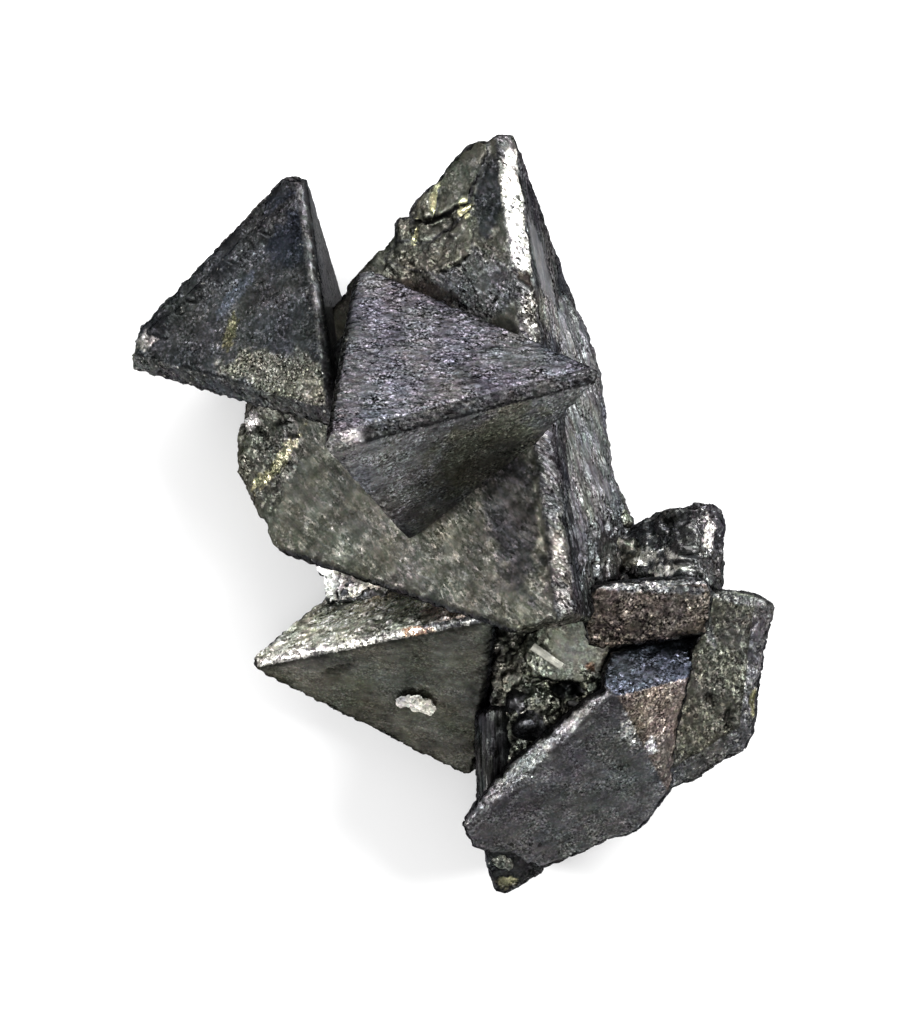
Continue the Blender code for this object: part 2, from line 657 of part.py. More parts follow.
def main():
    """Builds the specimen."""
    clear_scene()
    specimen = bpy.data.collections.new("tennantite_specimen")
    bpy.context.scene.collection.children.link(specimen)
    tennantite_crystals(specimen)
    quartz_needle(specimen)
    quartz_grain(specimen)
    pale_druse(specimen)


main()
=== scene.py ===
"""A hand specimen of tennantite, dressed for the studio.

Each crystal is cut to its form, covered with a fine even mesh and weathered: its faces get their grain, lines, growth
steps, pits and chipped edges, and its tarnish, with light and shade painted into their colour. Lengths are millimetres
while a piece is made, and metres at the end.
"""

from __future__ import annotations

import itertools
import logging
import math
from dataclasses import dataclass, field, replace
from enum import Enum

import bmesh
import bpy
import numpy as np
from mathutils import Euler, Matrix, Vector

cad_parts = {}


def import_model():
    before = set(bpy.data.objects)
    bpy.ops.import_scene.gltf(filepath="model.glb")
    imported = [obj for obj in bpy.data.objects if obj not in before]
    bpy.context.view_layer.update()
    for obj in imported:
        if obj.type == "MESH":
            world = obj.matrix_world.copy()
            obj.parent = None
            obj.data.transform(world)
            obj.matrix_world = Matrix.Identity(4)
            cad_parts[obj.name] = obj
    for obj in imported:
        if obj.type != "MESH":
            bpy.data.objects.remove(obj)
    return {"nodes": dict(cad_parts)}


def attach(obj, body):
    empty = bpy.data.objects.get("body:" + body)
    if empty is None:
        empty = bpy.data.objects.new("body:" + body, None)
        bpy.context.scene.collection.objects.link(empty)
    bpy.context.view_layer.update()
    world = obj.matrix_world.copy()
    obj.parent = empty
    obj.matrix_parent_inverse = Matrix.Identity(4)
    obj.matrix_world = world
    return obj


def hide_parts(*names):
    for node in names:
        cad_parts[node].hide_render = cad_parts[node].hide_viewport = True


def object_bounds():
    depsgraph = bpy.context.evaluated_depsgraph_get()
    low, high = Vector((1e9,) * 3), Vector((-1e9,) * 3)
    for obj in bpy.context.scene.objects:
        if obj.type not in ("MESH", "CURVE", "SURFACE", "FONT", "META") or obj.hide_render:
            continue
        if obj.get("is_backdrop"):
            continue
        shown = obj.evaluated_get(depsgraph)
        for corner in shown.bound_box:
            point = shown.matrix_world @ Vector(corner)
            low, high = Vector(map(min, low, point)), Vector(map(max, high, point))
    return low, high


log = logging.getLogger("tennantite")

MM = 0.001
BODY = "root"
CRYSTAL_NODE = "tennantite_crystals"
CRYSTAL_SLOT = "tennantite"

# The specimen is worked out round the camera's axis, and moved so that the origin is in the middle of its box.
ORIGIN_SHIFT = (0.03, 0.18, 0.0)

# The photograph is taken to be 902 by 1024, at this many millimetres to a pixel on a plane at the focus height.
IMAGE_HEIGHT = 1024
PIXEL = 0.05
FOCUS_HEIGHT = 10.0
LENS = 300.0
SENSOR = 36.0

# The distances from a tetrahedron's middle to a face, an edge and a corner, for an edge of 1.
INRADIUS = 1 / (2 * math.sqrt(6))
MIDRADIUS = 1 / (2 * math.sqrt(2))
CIRCUMRADIUS = math.sqrt(6) / 4
EDGE_SHARE = math.sqrt(3) / 2

# Two faces meet in an edge worn over this width, and a surface within this reach of a face can take its look.
EDGE_ROUNDING = 0.20
FACE_REACH = 0.9
SETTLING_ROUNDS = 3
LONGEST_STEP = 0.35
# How far from a growth the mesh can lie and still be shaped by it.
GROWTH_REACH = 0.8

# Large clouds of tarnish over the whole specimen: their widths in mm, and how much they change the light and the hue.
CLOUD_SIZE = 1.3
CLOUD_STRENGTH = 0.45
STREAK_SIZE = 0.35
STREAK_STRENGTH = 0.45
MOTTLE_SIZE = 0.40
MOTTLE_STRENGTH = 0.45
CALM_SIZE = 1.1
LEAST_SPARKLE = 0.25
MOST_SPARKLE = 1.25
HUE_SIZE = 2.4
HUE_STRENGTH = (0.10, 0.05, 0.14)
# How much painted shade darkens the hollows of the relief, with painted light on its raised parts, and how wide the
# bare metal and painted highlight along an edge is, in mm.
RELIEF_SHADE_STRENGTH = 0.50
BARE_AND_HIGHLIGHT_WIDTH = 0.14

Colour = tuple[float, float, float]
Place = tuple[float, float]
Point = tuple[float, float, float]


class Tint(Enum):
    """Tarnish hues of the metal, in linear light, each for a shade of 1."""

    STEEL = (1.00, 1.00, 1.01)
    SLATE = (0.95, 1.00, 1.05)
    BLUE = (0.86, 0.98, 1.20)
    VIOLET = (0.99, 0.97, 1.07)
    OLIVE = (1.02, 1.02, 0.86)
    BROWN = (1.14, 0.97, 0.84)
    COPPER = (1.40, 0.88, 0.60)
    YELLOW = (1.12, 1.08, 0.66)
    CREAM = (1.03, 1.00, 0.93)


class Noise:
    """Repeatable three-dimensional noise, worked out for many points at once."""

    CORNERS = tuple(itertools.product((0, 1), repeat=3))
    NEIGHBOURS = tuple(itertools.product((-1, 0, 1), repeat=3))

    def __init__(self, seed: int) -> None:
        """Draws the noise's tables.

        Args:
            seed: Sets which noise it is.
        """
        source = np.random.default_rng(seed)
        self.table = source.permutation(256)
        slopes = source.normal(size=(256, 3))
        self.slopes = slopes / np.linalg.norm(slopes, axis=1, keepdims=True)
        self.seeds = source.random((256, 3))
        self.tilts = source.uniform(-1, 1, (256, 3))
        self.levels = source.random(256)

    def keys(self, cells: np.ndarray) -> np.ndarray:
        """A number from 0 to 255 for each cell of the grid."""
        x, y, z = (cells[:, axis] & 255 for axis in range(3))
        return self.table[(self.table[(self.table[x] + y) & 255] + z) & 255]

    def smooth(self, points: np.ndarray) -> np.ndarray:
        """Gradient noise, about -1 to 1, with features about 1 across."""
        cells = np.floor(points).astype(int)
        part = points - cells
        fade = part**3 * (part * (part * 6 - 15) + 10)
        total = np.zeros(len(points))
        for corner in self.CORNERS:
            step = np.array(corner)
            slope = self.slopes[self.keys(cells + step)]
            weight = np.prod(np.where(step == 1, fade, 1 - fade), axis=1)
            total += weight * np.einsum("ij,ij->i", slope, part - step)
        return total * 1.6

    def fractal(self, points: np.ndarray, octaves: int = 3) -> np.ndarray:
        """Several sizes of noise together, each half as strong and half as wide as the one before."""
        total = np.zeros(len(points))
        for octave in range(octaves):
            total += self.smooth(points * 2**octave + 17.3 * octave) / 2**octave
        return total / (2 - 0.5 ** (octaves - 1))

    def grains(self, points: np.ndarray) -> tuple[np.ndarray, np.ndarray, np.ndarray]:
        """Splits space into uneven grains.

        Args:
            points: Where to look, in grain widths.

        Returns:
            How far each point is from its grain's seed, its height on the grain's own tilted flat, and the grain's
            number from 0 to 1.
        """
        cells = np.floor(points).astype(int)
        nearest = np.full(len(points), np.inf)
        height = np.zeros(len(points))
        number = np.zeros(len(points))
        for neighbour in self.NEIGHBOURS:
            here = cells + np.array(neighbour)
            keys = self.keys(here)
            away = points - here - self.seeds[keys]
            distance = np.einsum("ij,ij->i", away, away)
            nearer = distance < nearest
            nearest[nearer] = distance[nearer]
            tilt = np.einsum("ij,ij->i", self.tilts[keys[nearer]], away[nearer])
            height[nearer] = tilt
            number[nearer] = self.levels[keys[nearer]]
        return np.sqrt(nearest), height, number


NOISE = Noise(7)


def ramp(values: np.ndarray, start: float, end: float) -> np.ndarray:
    """Rises smoothly from 0 at the start to 1 at the end."""
    part = np.clip((values - start) / (end - start), 0, 1)
    return part * part * (3 - 2 * part)


def turned(degrees: Point) -> Matrix:
    """The rotation matrix of three angles in degrees."""
    return Euler([math.radians(angle) for angle in degrees]).to_matrix()


@dataclass(frozen=True)
class Relief:
    """How deep and how wide a face's unevenness is, in mm."""

    waves: float = 0.04
    wave_size: float = 1.8
    lumps: float = 0.02
    lump_size: float = 0.30
    facets: float = 0.0
    facet_size: float = 0.55
    lines: float = 0.0
    line_step: float = 0.24
    steps: float = 0.0
    step_size: float = 1.6
    pits: float = 0.0
    pit_size: float = 0.9
    chips: float = 0.10
    chip_reach: float = 0.35

    @property
    def height(self) -> float:
        """About how far the relief goes up and down, in mm."""
        return 0.3 * (self.waves + self.lumps + self.lines) + 0.4 * (self.facets + self.steps) + 0.3 * self.pits

    def depth(self, local: np.ndarray, edge: np.ndarray, stretch: float) -> np.ndarray:
        """How far the surface is worn below the plain face.

        Args:
            local: Points along and across the grain and out of the face, in mm.
            edge: How far each point is from the face's edge, in mm.
            stretch: How much longer than wide the grains are.

        Returns:
            The depth at each point, in mm.
        """
        drawn = local / np.array((stretch, 1, 1))
        depth = self.waves * NOISE.fractal(local / self.wave_size) / 2
        if self.lumps:
            depth += self.lumps * NOISE.fractal(drawn / self.lump_size, 2) / 2
        if self.facets:
            height, number = NOISE.grains(drawn / self.facet_size + 5.1)[1:]
            depth += self.facets * np.clip(0.6 * height + 0.5 * (number - 0.5), -0.5, 0.9)
        if self.lines:
            across = local * np.array((0.07, 1, 1)) / self.line_step
            depth += self.lines * NOISE.fractal(across + 3.7, 2) / 2
        if self.steps:
            level = 2 * NOISE.fractal(drawn / self.step_size + 9.4)
            tread = np.floor(level)
            depth += self.steps * (tread + ramp(level - tread, 0.80, 1.0)) / 4
        if self.pits:
            distance, _, number = NOISE.grains(drawn / self.pit_size + 2.9)
            depth += self.pits * (number > 0.72) * ramp(-distance, -0.30, -0.05)
        if self.chips:
            near = np.exp(-edge / self.chip_reach)
            depth += self.chips * near * ramp(NOISE.fractal(local / 0.7 + 6.6), -0.5, 0.7)
        return depth


@dataclass(frozen=True)
class Finish:
    """How one face looks: its tarnish and its painted light and shade, how its grains flash, and its relief."""

    tint: Tint = Tint.STEEL
    # The shade is set face by face for the tarnish and for painted light and shade: a face is lighter or darker for how
    # light falls on it.
    shade: float = 0.08
    sparkle: float = 0.5
    gloss: float = 0.5
    # How much of the face is bare worn metal and painted highlight.
    bare: float = 0.0
    lined: float = 0.0
    heading: Place = (1.0, 0.0)
    stretch: float = 1.0
    grain: float = 0.16
    relief: Relief = Relief()
    # How much bare metal and painted highlight lies along the face's edges.
    rim: float = 0.18

    @property
    def colour(self) -> np.ndarray:
        """The colour at this finish's shade: tarnish, with painted light and shade."""
        return np.array(self.tint.value) * self.shade

    @property
    def traits(self) -> np.ndarray:
        """What the material reads besides the colour."""
        return np.array((self.sparkle, self.gloss, self.bare, self.lined))


@dataclass(frozen=True)
class Patch:
    """A place on a face that looks different, such as a stain, a rough area or a bright facet."""

    place: Place
    size: Place
    finish: Finish
    turn: float = 0.0
    strength: float = 1.0
    ragged: float = 0.35
    sunk: float = 0.0

    def weight(self, points: np.ndarray) -> np.ndarray:
        """How much of the patch's look each point takes, from 0 to 1."""
        angle = math.radians(self.turn)
        x = points[:, 0] - self.place[0]
        y = points[:, 1] - self.place[1]
        along = (x * math.cos(angle) + y * math.sin(angle)) / self.size[0]
        across = (y * math.cos(angle) - x * math.sin(angle)) / self.size[1]
        reach = np.hypot(along, across)
        rough = NOISE.fractal(points / max(0.25, min(self.size) * 0.7) + 4.4)
        return self.strength * (1 - ramp(reach + self.ragged * rough, 0.75, 1.1))


@dataclass(frozen=True)
class Face:
    """A face's finish and the patches on it."""

    finish: Finish = Finish()
    patches: tuple[Patch, ...] = ()


@dataclass
class Look:
    """What the material reads at each point of a piece."""

    tint: np.ndarray
    traits: np.ndarray
    grain: np.ndarray

    @classmethod
    def plain(cls, count: int) -> "Look":
        """A look for so many points, to be filled in."""
        return cls(np.zeros((count, 3)), np.zeros((count, 4)), np.zeros((count, 3)))


def cut(form: bmesh.types.BMesh, point: Vector, outward: Vector) -> None:
    """Cuts a closed form by a plane, takes off the outer side and closes the cut.

    Args:
        form: The form, which is changed.
        point: A point on the plane.
        outward: The plane's direction, towards what is taken off.
    """
    geometry = form.verts[:] + form.edges[:] + form.faces[:]
    bmesh.ops.bisect_plane(
        form, geom=geometry, dist=1e-5, plane_co=point, plane_no=outward.normalized(), clear_outer=True
    )
    rim = [edge for edge in form.edges if edge.is_boundary]
    if rim:
        bmesh.ops.contextual_create(form, geom=rim)


@dataclass
class Growth:
    """Something that grew on the specimen: a form, and what each of its surfaces looks like."""

    faces: dict[str, Face] = field(default_factory=dict, kw_only=True)
    finish: Finish = field(default_factory=Finish, kw_only=True)

    def form(self) -> bmesh.types.BMesh:
        """The plain closed form, in mm."""
        raise NotImplementedError

    def planes(self) -> list[tuple[str, Vector, Vector]]:
        """The name, a point and the outward direction of each flat surface."""
        raise NotImplementedError

    def side(self, points: np.ndarray) -> tuple[np.ndarray, np.ndarray] | None:
        """The distance and direction out of a side that isn't one plane, if there is one."""
        return None

    def near(self, points: np.ndarray) -> np.ndarray:
        """The numbers of the points that this growth can shape."""
        form = self.form()
        corners = np.array([vert.co for vert in form.verts])
        form.free()
        low = corners.min(axis=0) - GROWTH_REACH
        high = corners.max(axis=0) + GROWTH_REACH
        return np.flatnonzero(((points > low) & (points < high)).all(axis=1))

    def face(self, name: str) -> Face:
        """The named surface's look, or the growth's own."""
        return self.faces.get(name, Face(self.finish))

    def surfaces(self, points: np.ndarray) -> tuple[list[str], np.ndarray, np.ndarray]:
        """How far points are outside each surface.

        Args:
            points: The points, in mm.

        Returns:
            The surfaces' names, the distances as points by surfaces, and each surface's direction at each point.
        """
        names = []
        distances = []
        directions = []
        for name, point, outward in self.planes():
            direction = np.array(outward.normalized())
            names.append(name)
            distances.append((points - np.array(point)) @ direction)
            directions.append(np.broadcast_to(direction, points.shape))
        side = self.side(points)
        if side is not None:
            names.append("side")
            distances.append(side[0])
            directions.append(side[1])
        return names, np.stack(distances, axis=1), np.stack(directions, axis=1)


def outline_distance(outline: tuple[Place, ...], flat: np.ndarray) -> tuple[np.ndarray, np.ndarray]:
    """How far points seen from above are outside an outline.

    Args:
        outline: The outline's corners in order.
        flat: The points' x and y.

    Returns:
        The distance, negative inside, and the direction out of the nearest side.
    """
    corners = np.array(outline)
    area = np.sum(corners[:, 0] * np.roll(corners[:, 1], -1) - corners[:, 1] * np.roll(corners[:, 0], -1))
    nearest = np.full(len(flat), np.inf)
    outward = np.zeros((len(flat), 3))
    inside = np.zeros(len(flat), bool)
    for start, end in zip(corners, np.roll(corners, -1, axis=0)):
        run = end - start
        share = np.clip(((flat - start) @ run) / (run @ run), 0, 1)
        distance = np.linalg.norm(flat - start - share[:, None] * run, axis=1)
        nearer = distance < nearest
        nearest[nearer] = distance[nearer]
        normal = np.array((run[1], -run[0])) * math.copysign(1, area) / np.linalg.norm(run)
        outward[nearer] = (*normal, 0)
        if run[1]:
            crosses = (start[1] > flat[:, 1]) != (end[1] > flat[:, 1])
            at = start[0] + (flat[:, 1] - start[1]) * run[0] / run[1]
            inside ^= crosses & (flat[:, 0] < at)
    return np.where(inside, -nearest, nearest), outward


def drawn_down(outline: tuple[Place, ...], high: float, levels: tuple[Place, ...]) -> bmesh.types.BMesh:
    """An outline seen from above, filled at a height and drawn down from it.

    Args:
        outline: The outline's corners in order.
        high: The height of the filled outline.
        levels: The height of each level below it, and how wide the form is there.

    Returns:
        The closed form.
    """
    form = bmesh.new()
    lid = form.faces.new([form.verts.new((x, y, high)) for x, y in outline])
    middle = Vector((*np.array(outline).mean(axis=0), 0))
    for number, (level, width) in enumerate(levels):
        made = bmesh.ops.extrude_face_region(form, geom=[lid], use_keep_orig=number == 0)["geom"]
        lower = [item for item in made if isinstance(item, bmesh.types.BMVert)]
        lid = next(item for item in made if isinstance(item, bmesh.types.BMFace))
        bmesh.ops.translate(form, vec=(0, 0, level - lower[0].co.z), verts=lower)
        bmesh.ops.scale(form, vec=(width, width, 1), space=Matrix.Translation(-middle), verts=lower)
    bmesh.ops.recalc_face_normals(form, faces=form.faces)
    return form


def grain_axes(outward: np.ndarray, heading: Place) -> np.ndarray:
    """The directions along and across a face's grain and out of it, as the columns of a matrix."""
    out = Vector(outward).normalized()
    along = Vector((*heading, 0.0))
    along = (along - out * along.dot(out)).normalized()
    return np.array((along, out.cross(along), out)).T


@dataclass
class Crystal(Growth):
    """A tetrahedral crystal with blunted edges and corners, turned to its place.

    shifts says how far a face stands out of the regular form, and corners how deep the corner opposite a face is cut.
    """

    centre: Point
    edge: float
    turn: Point
    blunt: float = 0.3
    corner: float = 0.6
    edges: dict[str, float] = field(default_factory=dict)
    broken: tuple[tuple[Point, Point], ...] = ()
    shifts: dict[str, float] = field(default_factory=dict)
    corners: dict[str, float] = field(default_factory=dict)

    LARGE_FACES = {"a": (1, 1, 1), "b": (1, -1, -1), "c": (-1, 1, -1), "d": (-1, -1, 1)}
    EDGE_FACES = {
        "+x": (1, 0, 0), "-x": (-1, 0, 0), "+y": (0, 1, 0), "-y": (0, -1, 0), "+z": (0, 0, 1), "-z": (0, 0, -1),
    }

    def carried(self, direction: Vector) -> float:
        """How far two shifted faces carry out the edge between them."""
        beside = [name for name, face in self.LARGE_FACES.items() if direction.dot(Vector(face)) > 0]
        return EDGE_SHARE * sum(self.shifts.get(name, 0.0) for name in beside)

    def planes(self) -> list[tuple[str, Vector, Vector]]:
        """The large faces, the blunted edges and corners, the breaks and the resting face."""
        turn = turned(self.turn)
        centre = Vector(self.centre)
        found = []
        for name, direction in self.LARGE_FACES.items():
            outward = turn @ Vector(direction).normalized()
            distance = INRADIUS * self.edge + self.shifts.get(name, 0.0)
            found.append((name, centre + outward * distance, outward))
            tip = CIRCUMRADIUS * self.edge - self.corners.get(name, self.corner)
            found.append(("corner", centre - outward * tip, -outward))
        for name, direction in self.EDGE_FACES.items():
            outward = turn @ Vector(direction)
            depth = self.edges.get(name, self.blunt - self.carried(Vector(direction)))
            found.append((name, centre + outward * (MIDRADIUS * self.edge - depth), outward))
        for point, outward in self.broken:
            found.append(("broken", Vector(point), Vector(outward)))
        found.append(("rest", Vector((0, 0, 0)), Vector((0, 0, -1))))
        return found

    def form(self) -> bmesh.types.BMesh:
        """The crystal, cut from a cube."""
        form = bmesh.new()
        bmesh.ops.create_cube(form, size=3 * self.edge)
        bmesh.ops.translate(form, vec=self.centre, verts=form.verts)
        for _, point, outward in self.planes():
            cut(form, point, outward)
        return form

    def place_on(self, name: str, place: Place, height: float = 0.0) -> Vector:
        """The point of a named face that is seen at a place from above, moved outward by a height."""
        for found, point, outward in self.planes():
            if found == name:
                x, y = place
                z = point.z - (outward.x * (x - point.x) + outward.y * (y - point.y)) / outward.z
                return Vector((x, y, z)) + outward.normalized() * height
        raise ValueError(f"the crystal has no face {name}")


@dataclass
class Block(Growth):
    """A broken crystal: an outline seen from above, its top cut to facets, narrower towards its foot."""

    outline: tuple[Place, ...]
    facets: tuple[tuple[Point, Point, Point], ...]
    depth: float
    taper: float
    breaks: tuple[tuple[Point, Point], ...] = ()

    STRAIGHT_SIDE = 0.5
    LEAST_TAPER_DEPTH = 0.5

    @property
    def top(self) -> float:
        """The height of the highest facet point."""
        return max(point[2] for facet in self.facets for point in facet)

    @property
    def shoulder(self) -> float:
        """The height where the sides start to narrow."""
        return min(point[2] for facet in self.facets for point in facet) - self.STRAIGHT_SIDE

    @property
    def foot(self) -> float:
        """The height of the underside."""
        return min(max(0.0, self.top - self.depth), self.shoulder - self.LEAST_TAPER_DEPTH)

    def planes(self) -> list[tuple[str, Vector, Vector]]:
        """The facets, the breaks and the underside."""
        found = []
        for number, facet in enumerate(self.facets):
            first, second, third = (Vector(point) for point in facet)
            outward = (second - first).cross(third - first).normalized()
            found.append((str(number), first, outward if outward.z > 0 else -outward))
        for point, outward in self.breaks:
            found.append(("broken", Vector(point), Vector(outward)))
        found.append(("rest", Vector((0, 0, self.foot)), Vector((0, 0, -1))))
        return found

    def side(self, points: np.ndarray) -> tuple[np.ndarray, np.ndarray]:
        """The distance out of the drawn-down outline, and the direction out of its nearest side."""
        middle = np.array(self.outline).mean(axis=0)
        part = np.clip((self.shoulder - points[:, 2]) / (self.shoulder - self.foot), 0, 1)
        scale = 1 - (1 - self.taper) * part
        distance, outward = outline_distance(self.outline, middle + (points[:, :2] - middle) / scale[:, None])
        return distance * scale, outward

    def form(self) -> bmesh.types.BMesh:
        """The outline drawn down, narrowed and cut."""
        form = drawn_down(self.outline, 2 * self.top, ((self.shoulder, 1.0), (self.foot, self.taper)))
        for _, point, outward in self.planes():
            cut(form, point, outward)
        return form


@dataclass
class Ledge(Growth):
    """A low ledge on a crystal's face d, where growth stopped and began again."""

    outline: tuple[Place, ...]
    height: float
    crystal: Crystal

    ROOT = 1.0

    def planes(self) -> list[tuple[str, Vector, Vector]]:
        """The top, and the plane inside the crystal where the ledge ends."""
        on_face = {name: (point, outward) for name, point, outward in self.crystal.planes()}
        point, outward = on_face["d"]
        return [("top", point + outward * self.height, outward), ("rest", point - outward * self.ROOT, -outward)]

    def side(self, points: np.ndarray) -> tuple[np.ndarray, np.ndarray]:
        """The distance out of the outline, which stands straight."""
        return outline_distance(self.outline, points[:, :2])

    def form(self) -> bmesh.types.BMesh:
        """The outline drawn down and cut."""
        heights = [self.crystal.place_on("d", place, self.height).z for place in self.outline]
        form = drawn_down(self.outline, max(heights) + self.ROOT, ((min(heights) - 2 * self.ROOT, 1.0),))
        for _, point, outward in self.planes():
            cut(form, point, outward)
        return form


@dataclass
class Lump(Growth):
    """A rounded lump, like a half-formed crystal."""

    centre: Point
    radius: float
    flat: float

    def form(self) -> bmesh.types.BMesh:
        """A ball, flattened."""
        form = bmesh.new()
        bmesh.ops.create_icosphere(form, subdivisions=3, radius=self.radius)
        bmesh.ops.scale(form, vec=(1, 1, self.flat), verts=form.verts)
        bmesh.ops.translate(form, vec=self.centre, verts=form.verts)
        return form

    def planes(self) -> list[tuple[str, Vector, Vector]]:
        """A lump has no flat surface."""
        return []

    def side(self, points: np.ndarray) -> tuple[np.ndarray, np.ndarray]:
        """The distance and the direction out of the flattened ball."""
        squash = np.array((1, 1, self.flat))
        away = (points - np.array(self.centre)) / squash
        length = np.linalg.norm(away, axis=1)
        outward = away / np.maximum(length, 1e-6)[:, None] / squash
        outward /= np.linalg.norm(outward, axis=1, keepdims=True)
        return length - self.radius, outward


@dataclass
class Piece:
    """One dressed piece of the specimen, made of growths that are joined."""

    name: str
    growths: list[Growth]
    voxel: float = 0.08
    rounding: float = EDGE_ROUNDING
    swell: float = 0.04
    node: str = CRYSTAL_NODE
    slot: str = CRYSTAL_SLOT
    material: str = "metal"

    def plain_mesh(self) -> bpy.types.Mesh:
        """The growths together, covered with one even mesh, in mm."""
        joined = bmesh.new()
        for growth in self.growths:
            form = growth.form()
            bmesh.ops.recalc_face_normals(form, faces=form.faces)
            part = bpy.data.meshes.new("part")
            form.to_mesh(part)
            form.free()
            joined.from_mesh(part)
            bpy.data.meshes.remove(part)
        mesh = bpy.data.meshes.new(self.name)
        joined.to_mesh(mesh)
        joined.free()
        rough = bpy.data.objects.new("rough", mesh)
        bpy.context.scene.collection.objects.link(rough)
        remesh = rough.modifiers.new("Even mesh", "REMESH")
        remesh.mode = "VOXEL"
        remesh.voxel_size = self.voxel
        graph = bpy.context.evaluated_depsgraph_get()
        even = bpy.data.meshes.new_from_object(rough.evaluated_get(graph))
        bpy.data.objects.remove(rough)
        bpy.data.meshes.remove(mesh)
        even.name = self.name
        return even

    def weather(self, growth: Growth, points: np.ndarray, look: Look, best: np.ndarray) -> np.ndarray:
        """Works out one growth's wear, and its look where it is what shows.

        Args:
            growth: The growth.
            points: The points near it, in mm.
            look: Their look, which is filled in where this growth is the outermost so far.
            best: Their least distance outside any growth so far, which is brought up to date.

        Returns:
            The depth of wear on each of its surfaces at each point.
        """
        names, distances, directions = growth.surfaces(points)
        order = np.sort(distances, axis=1)
        highest = order[:, -1]
        second = order[:, -2] if distances.shape[1] > 1 else highest - 10
        owner = np.argmax(distances, axis=1)
        shows = highest < best
        best[shows] = highest[shows]
        wear = np.zeros_like(distances)
        for column, name in enumerate(names):
            near = highest - distances[:, column] < FACE_REACH
            if name == "rest" or not near.any():
                continue
            face = growth.face(name)
            here = points[near]
            outward = directions[near, column].mean(axis=0) + np.array((0, 0, 1e-3))
            axes = grain_axes(outward / np.linalg.norm(outward), face.finish.heading)
            local = here @ axes
            edge = highest[near] - second[near]
            mine = (owner[near] == column) & shows[near]
            index = np.flatnonzero(near)[mine]
            wear[near, column] = self.cover(face, here, local, edge, look, mine, index)
        return wear

    def cover(self, face: Face, here: np.ndarray, local: np.ndarray, edge: np.ndarray, look: Look,
              mine: np.ndarray, index: np.ndarray) -> np.ndarray:
        """Gives one face its wear and its look.

        Args:
            face: The face.
            here: The points near it, in mm.
            local: The same points along and across the face's grain.
            edge: How far each is from the face's edge.
            look: The growth's look, which is filled in.
            mine: Which of the points lie on this face.
            index: The places of those in the growth's look.

        Returns:
            The depth of wear at each point near the face.
        """
        finish = face.finish
        depth = finish.relief.depth(local, edge, finish.stretch)
        height = np.full(len(here), max(finish.relief.height, 0.02))
        tint = np.tile(finish.colour, (len(here), 1))
        traits = np.tile(finish.traits, (len(here), 1))
        rim = np.full(len(here), finish.rim)
        for patch in face.patches:
            weight = patch.weight(here)
            deeper = patch.finish.relief.depth(local, edge, patch.finish.stretch) + patch.sunk
            depth += weight * (deeper - depth)
            height += weight * (max(patch.finish.relief.height, 0.02) - height)
            tint += weight[:, None] * (patch.finish.colour - tint)
            traits += weight[:, None] * (patch.finish.traits - traits)
            rim += weight * (patch.finish.rim - rim)
        # Painted shade in the relief's hollows, and painted light on its raised parts.
        relief_shade = 1 - RELIEF_SHADE_STRENGTH * np.clip(depth / height, -1, 1)
        cloud = 1 + CLOUD_STRENGTH * NOISE.fractal(here / CLOUD_SIZE + 7.7)
        streak = local / (STREAK_SIZE * np.array((3.0 * finish.stretch, 1, 1)))
        cloud *= 1 + STREAK_STRENGTH * NOISE.fractal(streak + 4.9)
        mottle = local / (MOTTLE_SIZE * np.array((finish.stretch, 1, 1)))
        cloud *= 1 + MOTTLE_STRENGTH * NOISE.fractal(mottle + 1.3)
        rough = ramp(NOISE.fractal(here / CALM_SIZE + 2.8), -0.45, 0.45)
        traits[:, 0] *= LEAST_SPARKLE + (MOST_SPARKLE - LEAST_SPARKLE) * rough
        shown = tint * (relief_shade * cloud)[:, None]
        for channel, strength in enumerate(HUE_STRENGTH):
            shown[:, channel] *= 1 + strength * NOISE.fractal(here / HUE_SIZE + 20.0 * (channel + 1), 2)
        # Along each edge, bare worn metal and a painted highlight, broken up.
        ragged = ramp(NOISE.fractal(here / 0.35 + 2.2), -0.10, 0.55)
        traits[:, 2] += rim * np.exp(-edge / BARE_AND_HIGHLIGHT_WIDTH) * ragged
        look.tint[index] = shown[mine]
        look.traits[index] = traits[mine]
        look.grain[index] = local[mine] / (finish.grain * np.array((finish.stretch, 1, 1)))
        return depth

    def settle(self, points: np.ndarray) -> tuple[np.ndarray, Look]:
        """Moves the even mesh's points on to the weathered surface.

        Args:
            points: The even mesh's points, in mm.

        Returns:
            The moved points and their look.
        """
        look = Look.plain(len(points))
        best = np.full(len(points), np.inf)
        shaped = []
        for growth in self.growths:
            near = growth.near(points)
            part = Look(look.tint[near], look.traits[near], look.grain[near])
            least = best[near]
            wear = self.weather(growth, points[near], part, least)
            look.tint[near] = part.tint
            look.traits[near] = part.traits
            look.grain[near] = part.grain
            best[near] = least
            shaped.append((growth, near, wear))
        moved = points.copy()
        for _ in range(SETTLING_ROUNDS):
            outside = np.full(len(moved), np.inf)
            outward = np.zeros_like(moved)
            for growth, near, wear in shaped:
                highest, direction = self.outermost(growth, moved[near], wear)
                nearer = highest < outside[near]
                outside[near[nearer]] = highest[nearer]
                outward[near[nearer]] = direction[nearer]
            outside[np.isinf(outside)] = 0
            step = np.clip(outside, -LONGEST_STEP, LONGEST_STEP)
            moved -= outward * step[:, None]
        return moved, look

